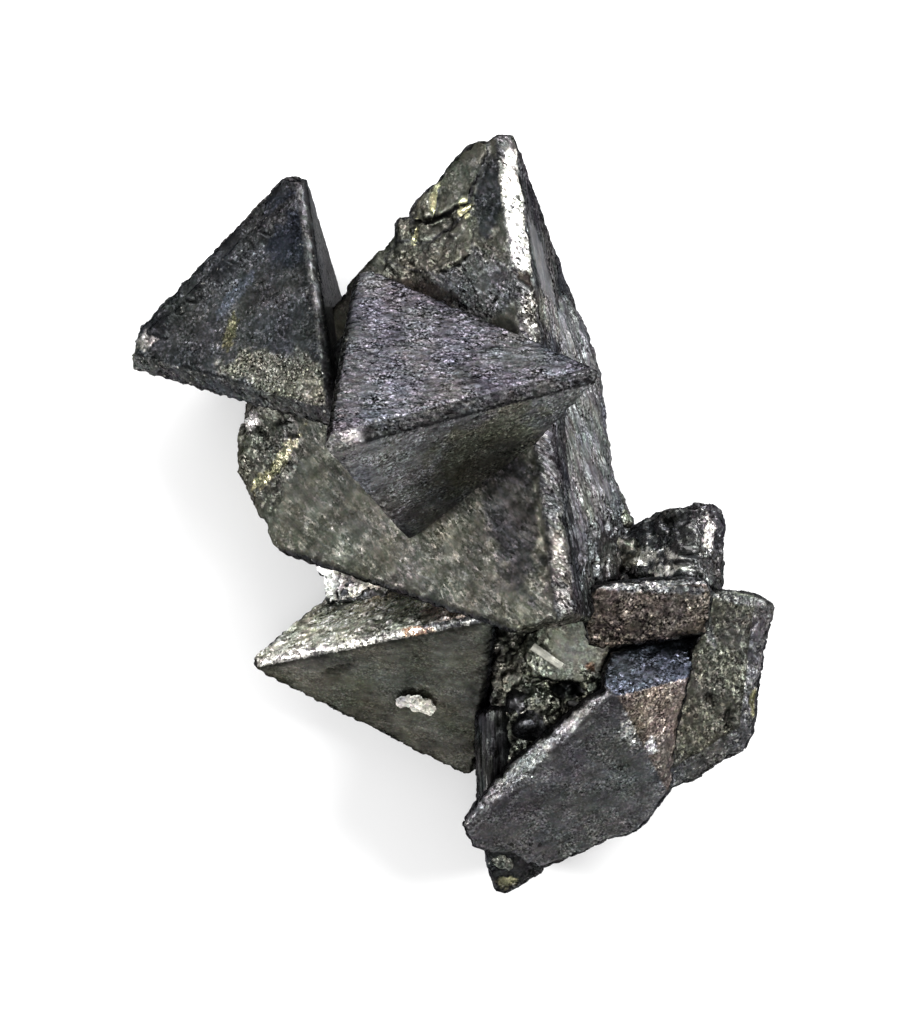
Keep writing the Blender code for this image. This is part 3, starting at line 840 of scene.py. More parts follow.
    def outermost(self, growth: Growth, points: np.ndarray, wear: np.ndarray) -> tuple[np.ndarray, np.ndarray]:
        """How far points are outside a worn growth, with its edges rounded.

        Args:
            growth: The growth.
            points: The points, in mm.
            wear: The depth of wear on each of its surfaces at each point.

        Returns:
            The distance and the direction out.
        """
        _, distances, directions = growth.surfaces(points)
        worn = distances + wear - self.swell
        owner = np.argmax(worn, axis=1)
        rows = np.arange(len(points))
        highest = worn[rows, owner]
        direction = directions[rows, owner]
        if worn.shape[1] > 1:
            second_owner = np.argpartition(worn, -2, axis=1)[:, -2]
            second = worn[rows, second_owner]
            close = np.maximum(self.rounding - (highest - second), 0)
            share = (close / (2 * self.rounding))[:, None]
            direction = direction * (1 - share) + directions[rows, second_owner] * share
            direction /= np.maximum(np.linalg.norm(direction, axis=1, keepdims=True), 1e-3)
            highest = highest + close**2 / (4 * self.rounding)
        return highest, direction

    def build(self, material: bpy.types.Material, box: tuple[Vector, Vector]) -> bpy.types.Object:
        """Makes the piece and dresses it.

        Args:
            material: The metal.
            box: The CAD model's box in metres, which the piece stays inside.

        Returns:
            The finished object, in metres.
        """
        mesh = self.plain_mesh()
        points = np.empty(len(mesh.vertices) * 3, np.float32)
        mesh.vertices.foreach_get("co", points)
        moved, look = self.settle(points.reshape(-1, 3).astype(float))
        low, high = (np.array(corner) for corner in box)
        placed = np.clip((moved + np.array(ORIGIN_SHIFT)) * MM, low, high)
        mesh.vertices.foreach_set("co", placed.astype(np.float32).ravel())
        tint = mesh.attributes.new("tint", "FLOAT_COLOR", "POINT")
        tint.data.foreach_set("color", np.column_stack((look.tint, np.ones(len(moved)))).astype(np.float32).ravel())
        traits = mesh.attributes.new("traits", "FLOAT_COLOR", "POINT")
        traits.data.foreach_set("color", look.traits.astype(np.float32).ravel())
        grain = mesh.attributes.new("grain", "FLOAT_VECTOR", "POINT")
        grain.data.foreach_set("vector", look.grain.astype(np.float32).ravel())
        mesh.shade_smooth()
        mesh.materials.clear()
        mesh.materials.append(material)
        mesh.update()
        piece = bpy.data.objects.new(self.name, mesh)
        bpy.context.scene.collection.objects.link(piece)
        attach(piece, BODY)
        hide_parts(self.node)
        log.info("%s: %d faces", self.name, len(mesh.polygons))
        return piece


class Shader:
    """A Principled material and the nodes that feed it."""

    def __init__(self, name: str, metallic: float, roughness: float) -> None:
        """Starts the material.

        Args:
            name: The material's name.
            metallic: How metallic it is.
            roughness: How rough it is where nothing changes that.
        """
        self.material = bpy.data.materials.new(name)
        self.material.use_nodes = True
        self.tree = self.material.node_tree
        self.principled = self.tree.nodes["Principled BSDF"]
        self.principled.inputs["Metallic"].default_value = metallic
        self.principled.inputs["Roughness"].default_value = roughness

    def node(self, kind: str, settings: dict | None = None, **inputs: object) -> bpy.types.Node:
        """Adds a node.

        Args:
            kind: The node's type.
            settings: Its properties.
            inputs: Its sockets by name or, as in_0, by place: a value, or another node's output.

        Returns:
            The node.
        """
        made = self.tree.nodes.new(kind)
        for key, value in (settings or {}).items():
            setattr(made, key, value)
        for key, value in inputs.items():
            socket = made.inputs[int(key[3:])] if key.startswith("in_") else made.inputs[key]
            if isinstance(value, bpy.types.NodeSocket):
                self.tree.links.new(value, socket)
            else:
                socket.default_value = value
        return made

    def attribute(self, name: str, output: str = "Vector") -> bpy.types.NodeSocket:
        """The values of a named attribute of the mesh."""
        return self.node("ShaderNodeAttribute", {"attribute_name": name}).outputs[output]

    def math(self, operation: str, *values: object, clamp: bool = False) -> bpy.types.NodeSocket:
        """The result of a sum on numbers."""
        inputs = {f"in_{place}": value for place, value in enumerate(values)}
        return self.node("ShaderNodeMath", {"operation": operation, "use_clamp": clamp}, **inputs).outputs[0]

    def vector(self, operation: str, *values: object, scale: object = None) -> bpy.types.NodeSocket:
        """The result of a sum on vectors."""
        inputs = {f"in_{place}": value for place, value in enumerate(values)}
        if scale is not None:
            inputs["Scale"] = scale
        return self.node("ShaderNodeVectorMath", {"operation": operation}, **inputs).outputs[0]

    def mix(self, share: object, first: object, second: object, how: str = "MIX") -> bpy.types.NodeSocket:
        """Two colours mixed."""
        settings = {"data_type": "RGBA", "blend_type": how, "clamp_factor": True}
        made = self.node("ShaderNodeMix", settings, in_0=share, in_6=first, in_7=second)
        return made.outputs[2]

    def noise(self, where: object, scale: float, detail: float = 3.0) -> bpy.types.NodeSocket:
        """Cloudy noise from 0 to 1."""
        return self.node("ShaderNodeTexNoise", None, Vector=where, Scale=scale, Detail=detail).outputs["Fac"]

    def spread(self, value: object, low: float, high: float, to_low: float, to_high: float) -> bpy.types.NodeSocket:
        """A value spread from one range over another."""
        ranges = {"in_1": low, "in_2": high, "in_3": to_low, "in_4": to_high}
        return self.node("ShaderNodeMapRange", None, in_0=value, **ranges).outputs[0]

    def feed(self, socket: str, value: bpy.types.NodeSocket) -> None:
        """Links a value to the Principled shader."""
        self.tree.links.new(value, self.principled.inputs[socket])


@dataclass(frozen=True)
class MetalFinish:
    """Tarnished tennantite: dark metal made of fine grains that flash, with painted glints, and pale where it is worn
    bare and where a highlight is painted.
    """

    name: str = "tennantite_metal"
    metallic: float = 1.0
    roughness: float = 0.36
    edge_tint: Colour = (0.30, 0.30, 0.31)
    line_scale: float = 0.55
    coarse_tilt: float = 0.42
    fine_tilt: float = 0.26
    fine_scale: float = 1.7
    bare_colour: Colour = (0.86, 0.84, 0.77)
    fleck_scale: float = 8200.0
    gap_scale: float = 6100.0
    dust_scale: float = 4300.0

    def build(self) -> bpy.types.Material:
        """Makes the material."""
        shader = Shader(self.name, self.metallic, self.roughness)
        shader.principled.inputs["Specular Tint"].default_value = (*self.edge_tint, 1.0)
        place = shader.node("ShaderNodeTexCoord").outputs["Object"]
        tint = shader.attribute("tint", "Color")
        grain = shader.attribute("grain")
        traits = shader.node("ShaderNodeSeparateXYZ", None, in_0=shader.attribute("traits", "Color"))
        sparkle, gloss, bare = traits.outputs
        lined = shader.attribute("traits", "Alpha")
        coarse = shader.node("ShaderNodeTexVoronoi", None, Vector=grain, Scale=0.8)
        fine = shader.node("ShaderNodeTexVoronoi", None, Vector=grain, Scale=self.fine_scale)
        numbers = shader.node("ShaderNodeSeparateXYZ", None, in_0=fine.outputs["Color"])
        self.tilt(shader, coarse.outputs["Color"], fine.outputs["Color"], sparkle)
        # Painted glints: bright specks in the colour where grains would flash.
        painted_glints = shader.spread(shader.noise(place, self.fleck_scale, 2.0), 0.50, 0.72, 0.0, 2.2)
        gaps = shader.spread(shader.noise(place, self.gap_scale, 2.0), 0.30, 0.50, -0.75, 0.0)
        cells = shader.spread(numbers.outputs[1], 0.0, 1.0, -0.38, 0.38)
        change = shader.math("ADD", shader.math("ADD", painted_glints, gaps), cells)
        light = shader.math("MULTIPLY_ADD", change, sparkle, 0.92)
        bands = {"wave_type": "BANDS", "bands_direction": "Y"}
        wave = shader.node("ShaderNodeTexWave", bands, Vector=grain, Scale=self.line_scale, Distortion=1.5, Detail=2.0)
        light = shader.math("MULTIPLY_ADD", shader.spread(wave.outputs["Fac"], 0.0, 1.0, -0.6, 0.9), lined, light)
        light = shader.math("MAXIMUM", light, 0.15)
        hue = shader.mix(0.10, (1.0, 1.0, 1.0, 1.0), coarse.outputs["Color"])
        hue = shader.vector("SCALE", hue, scale=1.05)
        colour = shader.vector("MULTIPLY", shader.vector("SCALE", tint, scale=light), hue)
        # Bare worn metal and painted highlights take the pale colour, broken up by noise.
        dust = shader.spread(shader.noise(place, self.dust_scale, 3.0), 0.32, 0.68, 0.0, 1.0)
        worn = shader.math("SUBTRACT", shader.math("MULTIPLY", bare, 1.6), dust)
        worn = shader.math("MULTIPLY", worn, 2.4, clamp=True)
        shader.feed("Base Color", shader.mix(worn, colour, (*self.bare_colour, 1.0)))
        rough = shader.spread(gloss, 0.0, 1.0, 0.52, 0.24)
        change = shader.spread(numbers.outputs[2], 0.0, 1.0, -0.06, 0.08)
        shader.feed("Roughness", shader.math("ADD", rough, change))
        return shader.material

    def tilt(self, shader: Shader, coarse: object, fine: object, sparkle: object) -> None:
        """Tilts each grain its own way.

        Args:
            shader: The material being made.
            coarse: A colour for each large grain.
            fine: A colour for each small grain.
            sparkle: How strongly the grains flash.
        """
        middle = (0.5, 0.5, 0.5)
        large = shader.vector("SCALE", shader.vector("SUBTRACT", coarse, middle), scale=self.coarse_tilt)
        small = shader.vector("SCALE", shader.vector("SUBTRACT", fine, middle), scale=self.fine_tilt)
        lean = shader.vector("SCALE", shader.vector("ADD", large, small), scale=sparkle)
        normal = shader.node("ShaderNodeNewGeometry").outputs["Normal"]
        shader.feed("Normal", shader.vector("NORMALIZE", shader.vector("ADD", normal, lean)))


@dataclass(frozen=True)
class QuartzFinish:
    """Pale cloudy quartz with fine cracks."""

    name: str
    colour: Colour
    veil: Colour
    roughness: float
    cloud_scale: float = 2600.0

    def build(self) -> bpy.types.Material:
        """Makes the material."""
        shader = Shader(self.name, 0.0, self.roughness)
        place = shader.node("ShaderNodeTexCoord").outputs["Object"]
        clouds = shader.noise(place, self.cloud_scale, 4.0)
        cells = shader.node("ShaderNodeTexVoronoi", None, Vector=place, Scale=self.cloud_scale * 1.4)
        shade = shader.mix(shader.spread(clouds, 0.35, 0.65, 0.0, 1.0), (*self.colour, 1.0), (*self.veil, 1.0))
        shader.feed("Base Color", shade)
        height = shader.math("ADD", clouds, cells.outputs["Distance"])
        bump = shader.node("ShaderNodeBump", None, Strength=0.5, Distance=0.00012, Height=height)
        shader.feed("Normal", bump.outputs["Normal"])
        return shader.material


class Specimen:
    """The whole specimen: every crystal, its finish and where it stands."""

    ROUGH = Relief(waves=0.14, wave_size=1.4, lumps=0.09, facets=0.14, facet_size=0.45, chips=0.20, chip_reach=0.4)
    HACKLY = Relief(waves=0.16, wave_size=1.6, lumps=0.08, facets=0.18, facet_size=0.6, steps=0.45, step_size=1.3,
                    chips=0.25, chip_reach=0.4)
    FINE = Relief(waves=0.06, lumps=0.03, lump_size=0.26, chips=0.08, chip_reach=0.25)
    GRANULAR = Relief(waves=0.08, lumps=0.07, lump_size=0.24, facets=0.05, facet_size=0.30, pits=0.10, chips=0.12,
                      chip_reach=0.25)

    GRAVEL = Relief(waves=0.30, wave_size=0.9, lumps=0.20, lump_size=0.35, facets=0.45, facet_size=0.55, chips=0.1)

    def __init__(self) -> None:
        """Settles the finishes that several crystals share."""
        self.default = Finish(Tint.STEEL, 0.050, sparkle=0.8, relief=self.ROUGH)
        self.broken = Face(Finish(Tint.OLIVE, 0.070, sparkle=1.0, relief=self.HACKLY))

    def tall(self) -> Crystal:
        """The tall crystal that the others stand on."""
        lines = Finish(Tint.OLIVE, 0.072, sparkle=0.45, lined=0.45, heading=(0.82, -0.57), stretch=2.2, grain=0.10,
                       relief=Relief(waves=0.12, lumps=0.04, lines=0.08, line_step=0.24, chips=0.12))
        hackly = replace(lines, shade=0.066, sparkle=0.85, lined=0.0, relief=self.HACKLY, stretch=1.2)
        sparkly = replace(lines, tint=Tint.STEEL, shade=0.072, sparkle=1.3, lined=0.0, relief=self.ROUGH, stretch=1.2)
        blue = replace(lines, tint=Tint.SLATE, shade=0.030, sparkle=0.7, lined=0.0)
        violet = replace(lines, tint=Tint.VIOLET, shade=0.024, sparkle=0.4, lined=0.9)
        flake = Finish(Tint.YELLOW, 0.75, sparkle=0.3, gloss=0.9, relief=self.FINE, rim=0.0)
        dark = replace(lines, tint=Tint.BROWN, shade=0.035, sparkle=0.7, relief=self.ROUGH)
        chip = replace(flake, tint=Tint.CREAM, shade=0.60, sparkle=0.8)
        main = Face(lines, (
            Patch((-1.6, 13.8), (4.2, 5.2), hackly, turn=45),
            Patch((1.0, 11.2), (2.2, 2.0), sparkly),
            Patch((1.9, 15.8), (0.75, 2.2), blue, turn=-8),
            Patch((3.0, 0.2), (1.4, 4.4), violet, turn=10, ragged=0.7, strength=0.85),
            Patch((-2.6, 11.0), (3.2, 0.8), dark, turn=-8),
            Patch((0.70, 15.25), (0.33, 0.50), flake, ragged=0.15),
            Patch((-0.75, 15.75), (0.20, 0.80), replace(flake, shade=0.45), turn=-8, ragged=0.5),
            Patch((-1.80, 14.10), (0.18, 0.65), flake, turn=-5, ragged=0.25),
            Patch((-9.7, 3.0), (1.9, 3.4), replace(hackly, shade=0.056, sparkle=1.2), turn=-10, ragged=0.6),
            Patch((-8.6, 2.6), (0.30, 1.7), replace(flake, shade=0.24, sparkle=1.5), turn=-35, ragged=1.3, strength=0.8),
            Patch((-9.6, 1.6), (0.22, 1.2), replace(flake, shade=0.20, sparkle=1.5), turn=-50, ragged=1.3, strength=0.8),
            Patch((-10.1, 4.6), (0.32, 0.60), replace(chip, shade=0.42), ragged=0.8),
        ))
        # The bevel's cream patches are painted highlights, brightest at the top.
        bevel = Face(
            Finish(Tint.STEEL, 0.040, sparkle=1.1, lined=0.4, heading=(0.82, -0.57), stretch=2.0, rim=0.06,
                   relief=Relief(waves=0.05, lines=0.10, line_step=0.28, lumps=0.03, chips=0.08)),
            (
                Patch((3.9, 15.2), (1.6, 3.7), Finish(Tint.CREAM, 0.34, 1.3, 0.8, 0.36, relief=Relief(
                    waves=0.04, lumps=0.03, pits=0.05, pit_size=0.5, chips=0.08)), turn=8),
                Patch((4.3, 11.45), (1.3, 0.35), replace(dark, shade=0.03), turn=-28, sunk=0.08),
                Patch((4.8, 10.0), (1.7, 1.6), Finish(Tint.CREAM, 0.05, 1.8, 0.6, 0.20, relief=self.ROUGH, rim=0.0)),
                Patch((5.6, -2.5), (0.6, 3.0), Finish(Tint.CREAM, 0.080, 1.4, 0.6, 0.02, lined=0.5, relief=self.FINE)),
            ),
        )
        streaks = Face(
            Finish(Tint.STEEL, 0.056, sparkle=1.5, heading=(0.26, -0.966), stretch=4.0, grain=0.11, relief=Relief(
                waves=0.14, lumps=0.05, lines=0.20, line_step=0.32, facets=0.08, chips=0.20, chip_reach=0.5)),
            (
                Patch((4.55, 12.2), (0.30, 2.8), Finish(Tint.STEEL, 0.22, 0.25, 0.7, relief=self.FINE), turn=14),
                Patch((4.95, 9.8), (0.45, 1.2), Finish(Tint.CREAM, 0.18, 1.5, relief=self.ROUGH), turn=20, ragged=0.9),
            ),
        )
        return Crystal(
            (0.68, 3.99, 4.72), 26.84, (-27.9, 4.4, -42.3), 0.30, 0.85, {"+z": 0.48},
            (
                ((-10.7, 3.9, 4.5), (-0.98, 0.14, -0.10)),
                ((-10.2, 1.2, 4.5), (-0.87, -0.48, -0.10)),
                ((5.3, -5.75, 12.0), (0.25, -0.96, 0.10)),
            ),
            {"a": 0.42, "b": 1.00, "c": 0.05}, {"b": 0.70},
            faces={"d": main, "+z": bevel, "a": streaks, "broken": self.broken}, finish=self.default,
        )

    def tall_ledges(self, tall: Crystal) -> list[Growth]:
        """The raised ledges near the tall crystal's top."""
        rough = Finish(Tint.OLIVE, 0.075, sparkle=0.8, relief=self.HACKLY)
        smooth = replace(rough, sparkle=0.5, relief=self.FINE)
        ledges = (
            (((0.65, 18.20), (1.20, 18.55), (1.80, 18.60), (1.90, 18.00), (1.45, 17.00), (1.05, 16.30), (0.90, 15.50),
              (0.30, 15.20), (-0.70, 14.70), (-0.60, 16.00), (-0.65, 16.60), (-0.10, 17.35)), 0.30, smooth),
            (((-2.05, 15.10), (-1.75, 15.60), (-1.20, 16.20), (-0.75, 16.50), (-0.60, 15.80), (-0.90, 14.60),
              (-1.20, 14.50), (-2.00, 14.70)), 0.50, rough),
            (((-2.62, 14.80), (-2.10, 14.75), (-1.95, 14.30), (-2.00, 13.65), (-2.76, 13.60), (-2.82, 14.40)),
             0.42, rough),
            (((-2.80, 13.50), (-1.10, 13.50), (0.90, 15.05), (1.30, 14.70), (0.90, 12.70), (-0.60, 11.90),
              (-2.10, 12.20), (-3.40, 12.70)), 0.18, rough),
        )
        flakes = tall.face("d").patches[5:8]
        return [Ledge(outline, height, tall, faces={"top": Face(finish, flakes)}, finish=self.default)
                for outline, height, finish in ledges]

    def front(self) -> Crystal:
        """The crystal that stands on the tall one, towards the camera."""
        upper = Finish(Tint.VIOLET, 0.076, sparkle=1.5, heading=(1.0, -0.06), stretch=1.8, grain=0.13,
                       relief=self.GRANULAR)
        pitted = replace(upper, shade=0.046, relief=replace(self.GRANULAR, pits=0.30, pit_size=0.7, facets=0.10))
        lower = Finish(Tint.STEEL, 0.190, sparkle=0.80, grain=0.10, relief=self.FINE)
        olive = replace(lower, tint=Tint.OLIVE, shade=0.160, sparkle=0.8)
        rim = replace(upper, tint=Tint.STEEL, shade=0.026, sparkle=0.9, bare=0.0, rim=0.08)
        # A painted highlight on the left edge and the corners.
        painted_highlight = replace(rim, shade=0.15, bare=0.06)
        return Crystal(
            (-1.10, 5.11, 14.15), 15.70, (18.0, 10.1, 60.4), 0.28, 0.45, {"+z": 0.62, "+y": 0.25}, (),
            {"c": 0.10}, {"c": 0.05, "d": 1.25, "b": 0.70, "a": 0.20},
            faces={
                "a": Face(upper, (
                    Patch((0.9, 6.9), (0.8, 0.9), pitted, ragged=0.8),
                    Patch((2.0, 5.9), (0.6, 0.4), pitted, ragged=0.8),
                    Patch((-2.6, 8.4), (0.5, 0.3), pitted, ragged=0.8),
                    Patch((-3.9, 5.8), (2.2, 0.7), replace(upper, shade=0.085)),
                )),
                "d": Face(lower, (
                    Patch((1.8, 3.2), (3.4, 1.6), olive, turn=35, ragged=0.7),
                    Patch((3.6, 3.0), (1.0, 0.35), replace(olive, shade=0.30, sparkle=1.2), turn=35, ragged=1.2),
                )),
                "+z": Face(rim, (Patch((-5.4, 3.6), (1.2, 1.5), painted_highlight),)),
                "+y": Face(rim), "-x": Face(painted_highlight), "c": Face(painted_highlight), "corner": Face(painted_highlight),
            },
            finish=self.default,
        )

    def left(self) -> Crystal:
        """The crystal at the upper left."""
        slate = Finish(Tint.SLATE, 0.037, sparkle=0.85, grain=0.10, relief=replace(self.FINE, waves=0.10, chips=0.16))
        rough = Finish(Tint.OLIVE, 0.088, sparkle=2.0, relief=replace(self.GRANULAR, pits=0.2, facets=0.12))
        gold = Finish(Tint.YELLOW, 0.07, sparkle=1.2, relief=self.GRANULAR)
        ice = Finish(Tint.BLUE, 0.060, sparkle=1.0, relief=self.FINE)
        strip = Finish(Tint.STEEL, 0.057, sparkle=0.5, relief=self.FINE)
        edge = Finish(Tint.STEEL, 0.070, sparkle=0.9, bare=0.05, relief=self.ROUGH)
        navy = replace(slate, tint=Tint.BLUE, shade=0.024)
        return Crystal(
            (-8.78, 9.26, 4.89), 13.72, (-32.7, 5.6, -43.0), 0.25, 0.50, {"+z": 0.32, "-y": 0.40},
            (((-16.1, 7.9, 4.0), (-0.98, 0.17, -0.10)),), {"b": 0.55, "c": 0.55, "a": 0.15}, {"a": 0.3, "b": 0.65},
            faces={
                "d": Face(slate, (
                    Patch((-8.0, 6.6), (3.3, 1.5), rough, turn=-12, ragged=0.6),
                    Patch((-11.1, 9.0), (0.30, 1.0), gold, turn=-15, ragged=0.8, strength=0.8),
                    Patch((-10.8, 11.0), (1.6, 0.30), ice, turn=50, strength=0.8, ragged=0.8),
                    Patch((-8.2, 14.2), (1.3, 2.2), navy),
                    Patch((-15.2, 8.9), (0.4, 0.9), replace(gold, tint=Tint.CREAM, shade=0.22), turn=-45, ragged=0.6),
                )),
                "+z": Face(strip), "a": Face(strip), "-y": Face(edge), "b": Face(edge), "-x": Face(edge),
                "broken": self.broken,
            },
            finish=self.default,
        )

    def lower_left(self) -> Crystal:
        """The crystal at the lower left."""
        main = Finish(Tint.OLIVE, 0.070, sparkle=0.45, grain=0.10, relief=self.FINE)
        # Face a, on top, is painted far lighter than the other faces, for the light that falls on it.
        top = Finish(Tint.OLIVE, 0.54, sparkle=1.4, heading=(1.0, 0.2), stretch=1.5, relief=self.ROUGH)
        copper = replace(top, tint=Tint.BROWN, shade=0.45, sparkle=1.2)
        # The bevel is a painted highlight: cream, with a copper patch and a duller part.
        painted_highlight = Finish(Tint.CREAM, 0.34, sparkle=1.5, gloss=0.8, bare=0.37, rim=0.0,
                        relief=replace(self.FINE, pits=0.05))
        rose_highlight = replace(painted_highlight, tint=Tint.COPPER, shade=0.45, bare=0.30, sparkle=0.8)
        dull = Finish(Tint.STEEL, 0.12, sparkle=0.9, bare=0.15, relief=self.GRANULAR)
        pit = replace(main, shade=0.04, relief=self.GRANULAR)
        return Crystal(
            (-1.75, -6.48, 5.91), 14.13, (-21.7, -12.1, 57.5), 0.22, 0.50, {"+z": 0.36}, (),
            {"c": 0.50}, {"b": 0.35},
            faces={
                "d": Face(main, (Patch((-5.6, -7.9), (0.8, 0.20), pit, turn=10, sunk=0.06, ragged=1.2, strength=0.6),)),
                "a": Face(top, (Patch((0.4, -5.0), (1.8, 0.5), copper, ragged=0.8),)),
                "+z": Face(painted_highlight, (
                    Patch((-1.6, -5.9), (0.9, 0.6), rose_highlight, ragged=0.8),
                    Patch((0.7, -5.35), (2.5, 0.9), dull, ragged=0.8),
                )),
            },
            finish=self.default,
        )

    def wedge(self) -> Block:
        """The broken crystal at the lower right."""
        mottled = Finish(Tint.STEEL, 0.105, sparkle=0.95, heading=(1.0, 0.8), stretch=1.6, grain=0.11, relief=Relief(
            waves=0.14, lumps=0.05, facets=0.04, facet_size=0.5, pits=0.12, pit_size=1.2, chips=0.14))
        pale = replace(mottled, shade=0.34, bare=0.24, sparkle=1.5)
        brown = replace(mottled, tint=Tint.BROWN, shade=0.110, sparkle=1.2)
        ridge = replace(mottled, shade=0.115, sparkle=0.8, relief=replace(self.FINE, lines=0.06))
        return Block(
            (
                (0.55, -15.69), (1.30, -14.58), (3.11, -12.43), (4.76, -11.13), (6.67, -9.42), (7.57, -8.87),
                (7.57, -8.02), (8.02, -7.02), (9.42, -6.62), (12.63, -6.11), (12.73, -6.82), (12.03, -8.02),
                (11.33, -10.88), (11.13, -13.53), (10.98, -13.93), (9.77, -15.64), (9.27, -16.04), (8.62, -16.39),
                (7.72, -16.49), (6.47, -17.29), (5.26, -17.84), (4.56, -18.04), (3.20, -17.30), (1.70, -17.04),
                (1.10, -16.84),
            ),
            (
                ((0.95, -15.98, 7.9), (8.26, -9.11, 11.9), (7.75, -16.55, 7.5)),
                ((8.26, -9.11, 11.9), (10.57, -13.52, 9.27), (11.91, -9.21, 9.5)),
                ((0.95, -15.98, 7.9), (8.26, -9.11, 11.9), (7.72, -8.92, 11.6)),
                ((7.97, -8.67, 11.5), (11.61, -8.01, 9.6), (10.43, -6.72, 8.8)),
                ((4.59, -18.16, 6.2), (8.65, -16.45, 7.4), (6.94, -16.79, 7.7)),
            ),
            12.0, 0.80,
            (((5.30, -17.30, 5.6), (0.35, -0.80, -0.48)), ((1.20, -15.50, 5.2), (-0.75, -0.30, -0.55))),
            faces={
                "0": Face(mottled, (
                    Patch((8.85, -10.9), (0.40, 0.75), pale, ragged=1.1),
                    Patch((4.5, -12.8), (3.6, 0.30), ridge, turn=44),
                )),
                "1": Face(brown, (Patch((10.0, -11.7), (0.25, 0.45), pale, ragged=0.8),)),
                "2": Face(ridge),
                "3": Face(replace(brown, tint=Tint.BLUE, shade=0.058)),
            },
            finish=self.default,
        )

    def foot(self) -> Block:
        """The small broken end at the bottom."""
        glint = Finish(Tint.YELLOW, 0.25, sparkle=1.0, bare=0.10, relief=self.ROUGH)
        return Block(
            (
                (1.60, -16.40), (1.81, -17.27), (1.96, -18.33), (2.37, -19.18), (2.77, -19.28), (3.68, -18.73),
                (4.58, -18.18), (4.60, -16.40),
            ),
            (((1.81, -17.32, 6.9), (4.44, -18.05, 6.4), (2.58, -19.31, 5.4)),),
            7.0, 0.80, (((2.30, -19.10, 4.4), (-0.35, -0.80, -0.50)),),
            faces={"0": Face(Finish(Tint.STEEL, 0.028, sparkle=0.9, relief=self.ROUGH),
                             (Patch((2.8, -18.7), (0.5, 0.3), glint, ragged=0.8),))},
            finish=self.default,
        )

    def slab(self) -> Block:
        """The flat broken crystal at the right."""
        speckled = Finish(Tint.OLIVE, 0.056, sparkle=0.95, grain=0.12,
                          relief=replace(self.GRANULAR, pits=0.04, facets=0.07))
        rim = replace(speckled, tint=Tint.STEEL, shade=0.10, bare=0.08, relief=self.ROUGH)
        gold = replace(rim, tint=Tint.YELLOW, shade=0.20)
        # The holes are sunk a little, with painted shade in them.
        painted_hole_shade = replace(speckled, shade=0.025)
        return Block(
            (
                (12.84, -3.96), (13.70, -3.96), (15.20, -4.11), (16.01, -4.47), (16.36, -4.82), (15.91, -6.07),
                (15.50, -8.73), (15.20, -11.14), (14.85, -11.89), (13.05, -12.84), (12.34, -13.40),
                (10.94, -13.90), (10.44, -12.74), (10.84, -10.74), (11.64, -8.03), (12.44, -6.07),
            ),
            (
                ((12.93, -4.21, 8.9), (15.86, -4.97, 8.4), (11.93, -13.23, 8.9)),
                ((15.57, -4.42, 8.2), (15.99, -4.83, 7.7), (15.07, -11.15, 7.9)),
                ((14.96, -10.74, 8.3), (15.09, -11.77, 7.4), (12.46, -13.26, 7.9)),
            ),
            9.0, 0.80,
            (((15.80, -8.00, 6.0), (0.80, 0.05, -0.60)), ((13.00, -12.90, 6.2), (0.45, -0.75, -0.48))),
            faces={
                "0": Face(speckled, (
                    Patch((14.6, -4.4), (2.0, 0.25), rim, turn=-12, ragged=0.6),
                    Patch((12.8, -5.6), (0.25, 1.3), rim, turn=20, ragged=0.6),
                    Patch((13.3, -12.2), (0.5, 0.3), rim, turn=30, ragged=0.8),
                    Patch((12.90, -9.40), (0.26, 0.40), painted_hole_shade, turn=20, sunk=0.12, ragged=1.2),
                    Patch((13.90, -10.40), (0.26, 0.50), painted_hole_shade, turn=-15, sunk=0.15, ragged=1.2),
                )),
                "1": Face(rim, (Patch((15.3, -9.6), (0.3, 0.8), gold),)),
                "2": Face(rim),
            },
            finish=self.default,
        )

    def ledge(self) -> Block:
        """The brown sparkling ledge over the slab."""
        brown = Finish(Tint.BROWN, 0.102, sparkle=1.5, relief=self.ROUGH)
        rim = replace(brown, tint=Tint.STEEL, shade=0.16, bare=0.15)
        return Block(
            (
                (7.08, -3.79), (7.88, -3.54), (9.88, -3.34), (11.87, -3.29), (12.77, -3.49), (13.07, -4.19),
                (12.77, -6.04), (11.87, -6.24), (10.28, -6.53), (8.63, -6.68), (7.73, -6.93), (6.88, -6.68),
                (6.58, -5.19),
            ),
            (
                ((7.37, -3.79, 11.6), (12.67, -3.59, 11.0), (10.41, -6.45, 9.7)),
                ((7.37, -3.69, 11.5), (12.67, -3.49, 10.9), (9.88, -3.29, 10.8)),
            ),
            9.0, 0.85,
            faces={"0": Face(brown, (Patch((9.8, -3.8), (3.2, 0.22), rim, turn=-3, ragged=0.8),)), "1": Face(rim)},
            finish=self.default,
        )

    def ramp(self) -> Block:
        """The smooth slope that the needle lies on."""
        smooth = Finish(Tint.OLIVE, 0.265, sparkle=0.6, relief=replace(self.FINE, waves=0.10))
        copper = Finish(Tint.COPPER, 0.28, 0.9, relief=self.ROUGH)
        return Block(
            (
                (3.16, -6.97), (3.81, -6.11), (5.21, -5.41), (6.11, -4.71), (7.12, -4.11), (8.02, -4.81),
                (8.02, -6.72), (7.62, -8.02), (6.92, -8.72), (5.51, -8.52), (4.16, -8.32),
            ),
            (
                ((5.40, -5.20, 9.9), (7.65, -6.20, 10.0), (5.42, -8.22, 8.9)),
                ((4.65, -5.61, 9.6), (4.81, -8.22, 8.8), (3.42, -7.23, 8.0)),
            ),
            5.0, 0.90,
            faces={
                "0": Face(smooth, (Patch((7.0, -7.9), (0.25, 0.5), copper, ragged=0.9),)),
                "1": Face(replace(smooth, relief=self.ROUGH, sparkle=0.9)),
            },
            finish=self.default,
        )

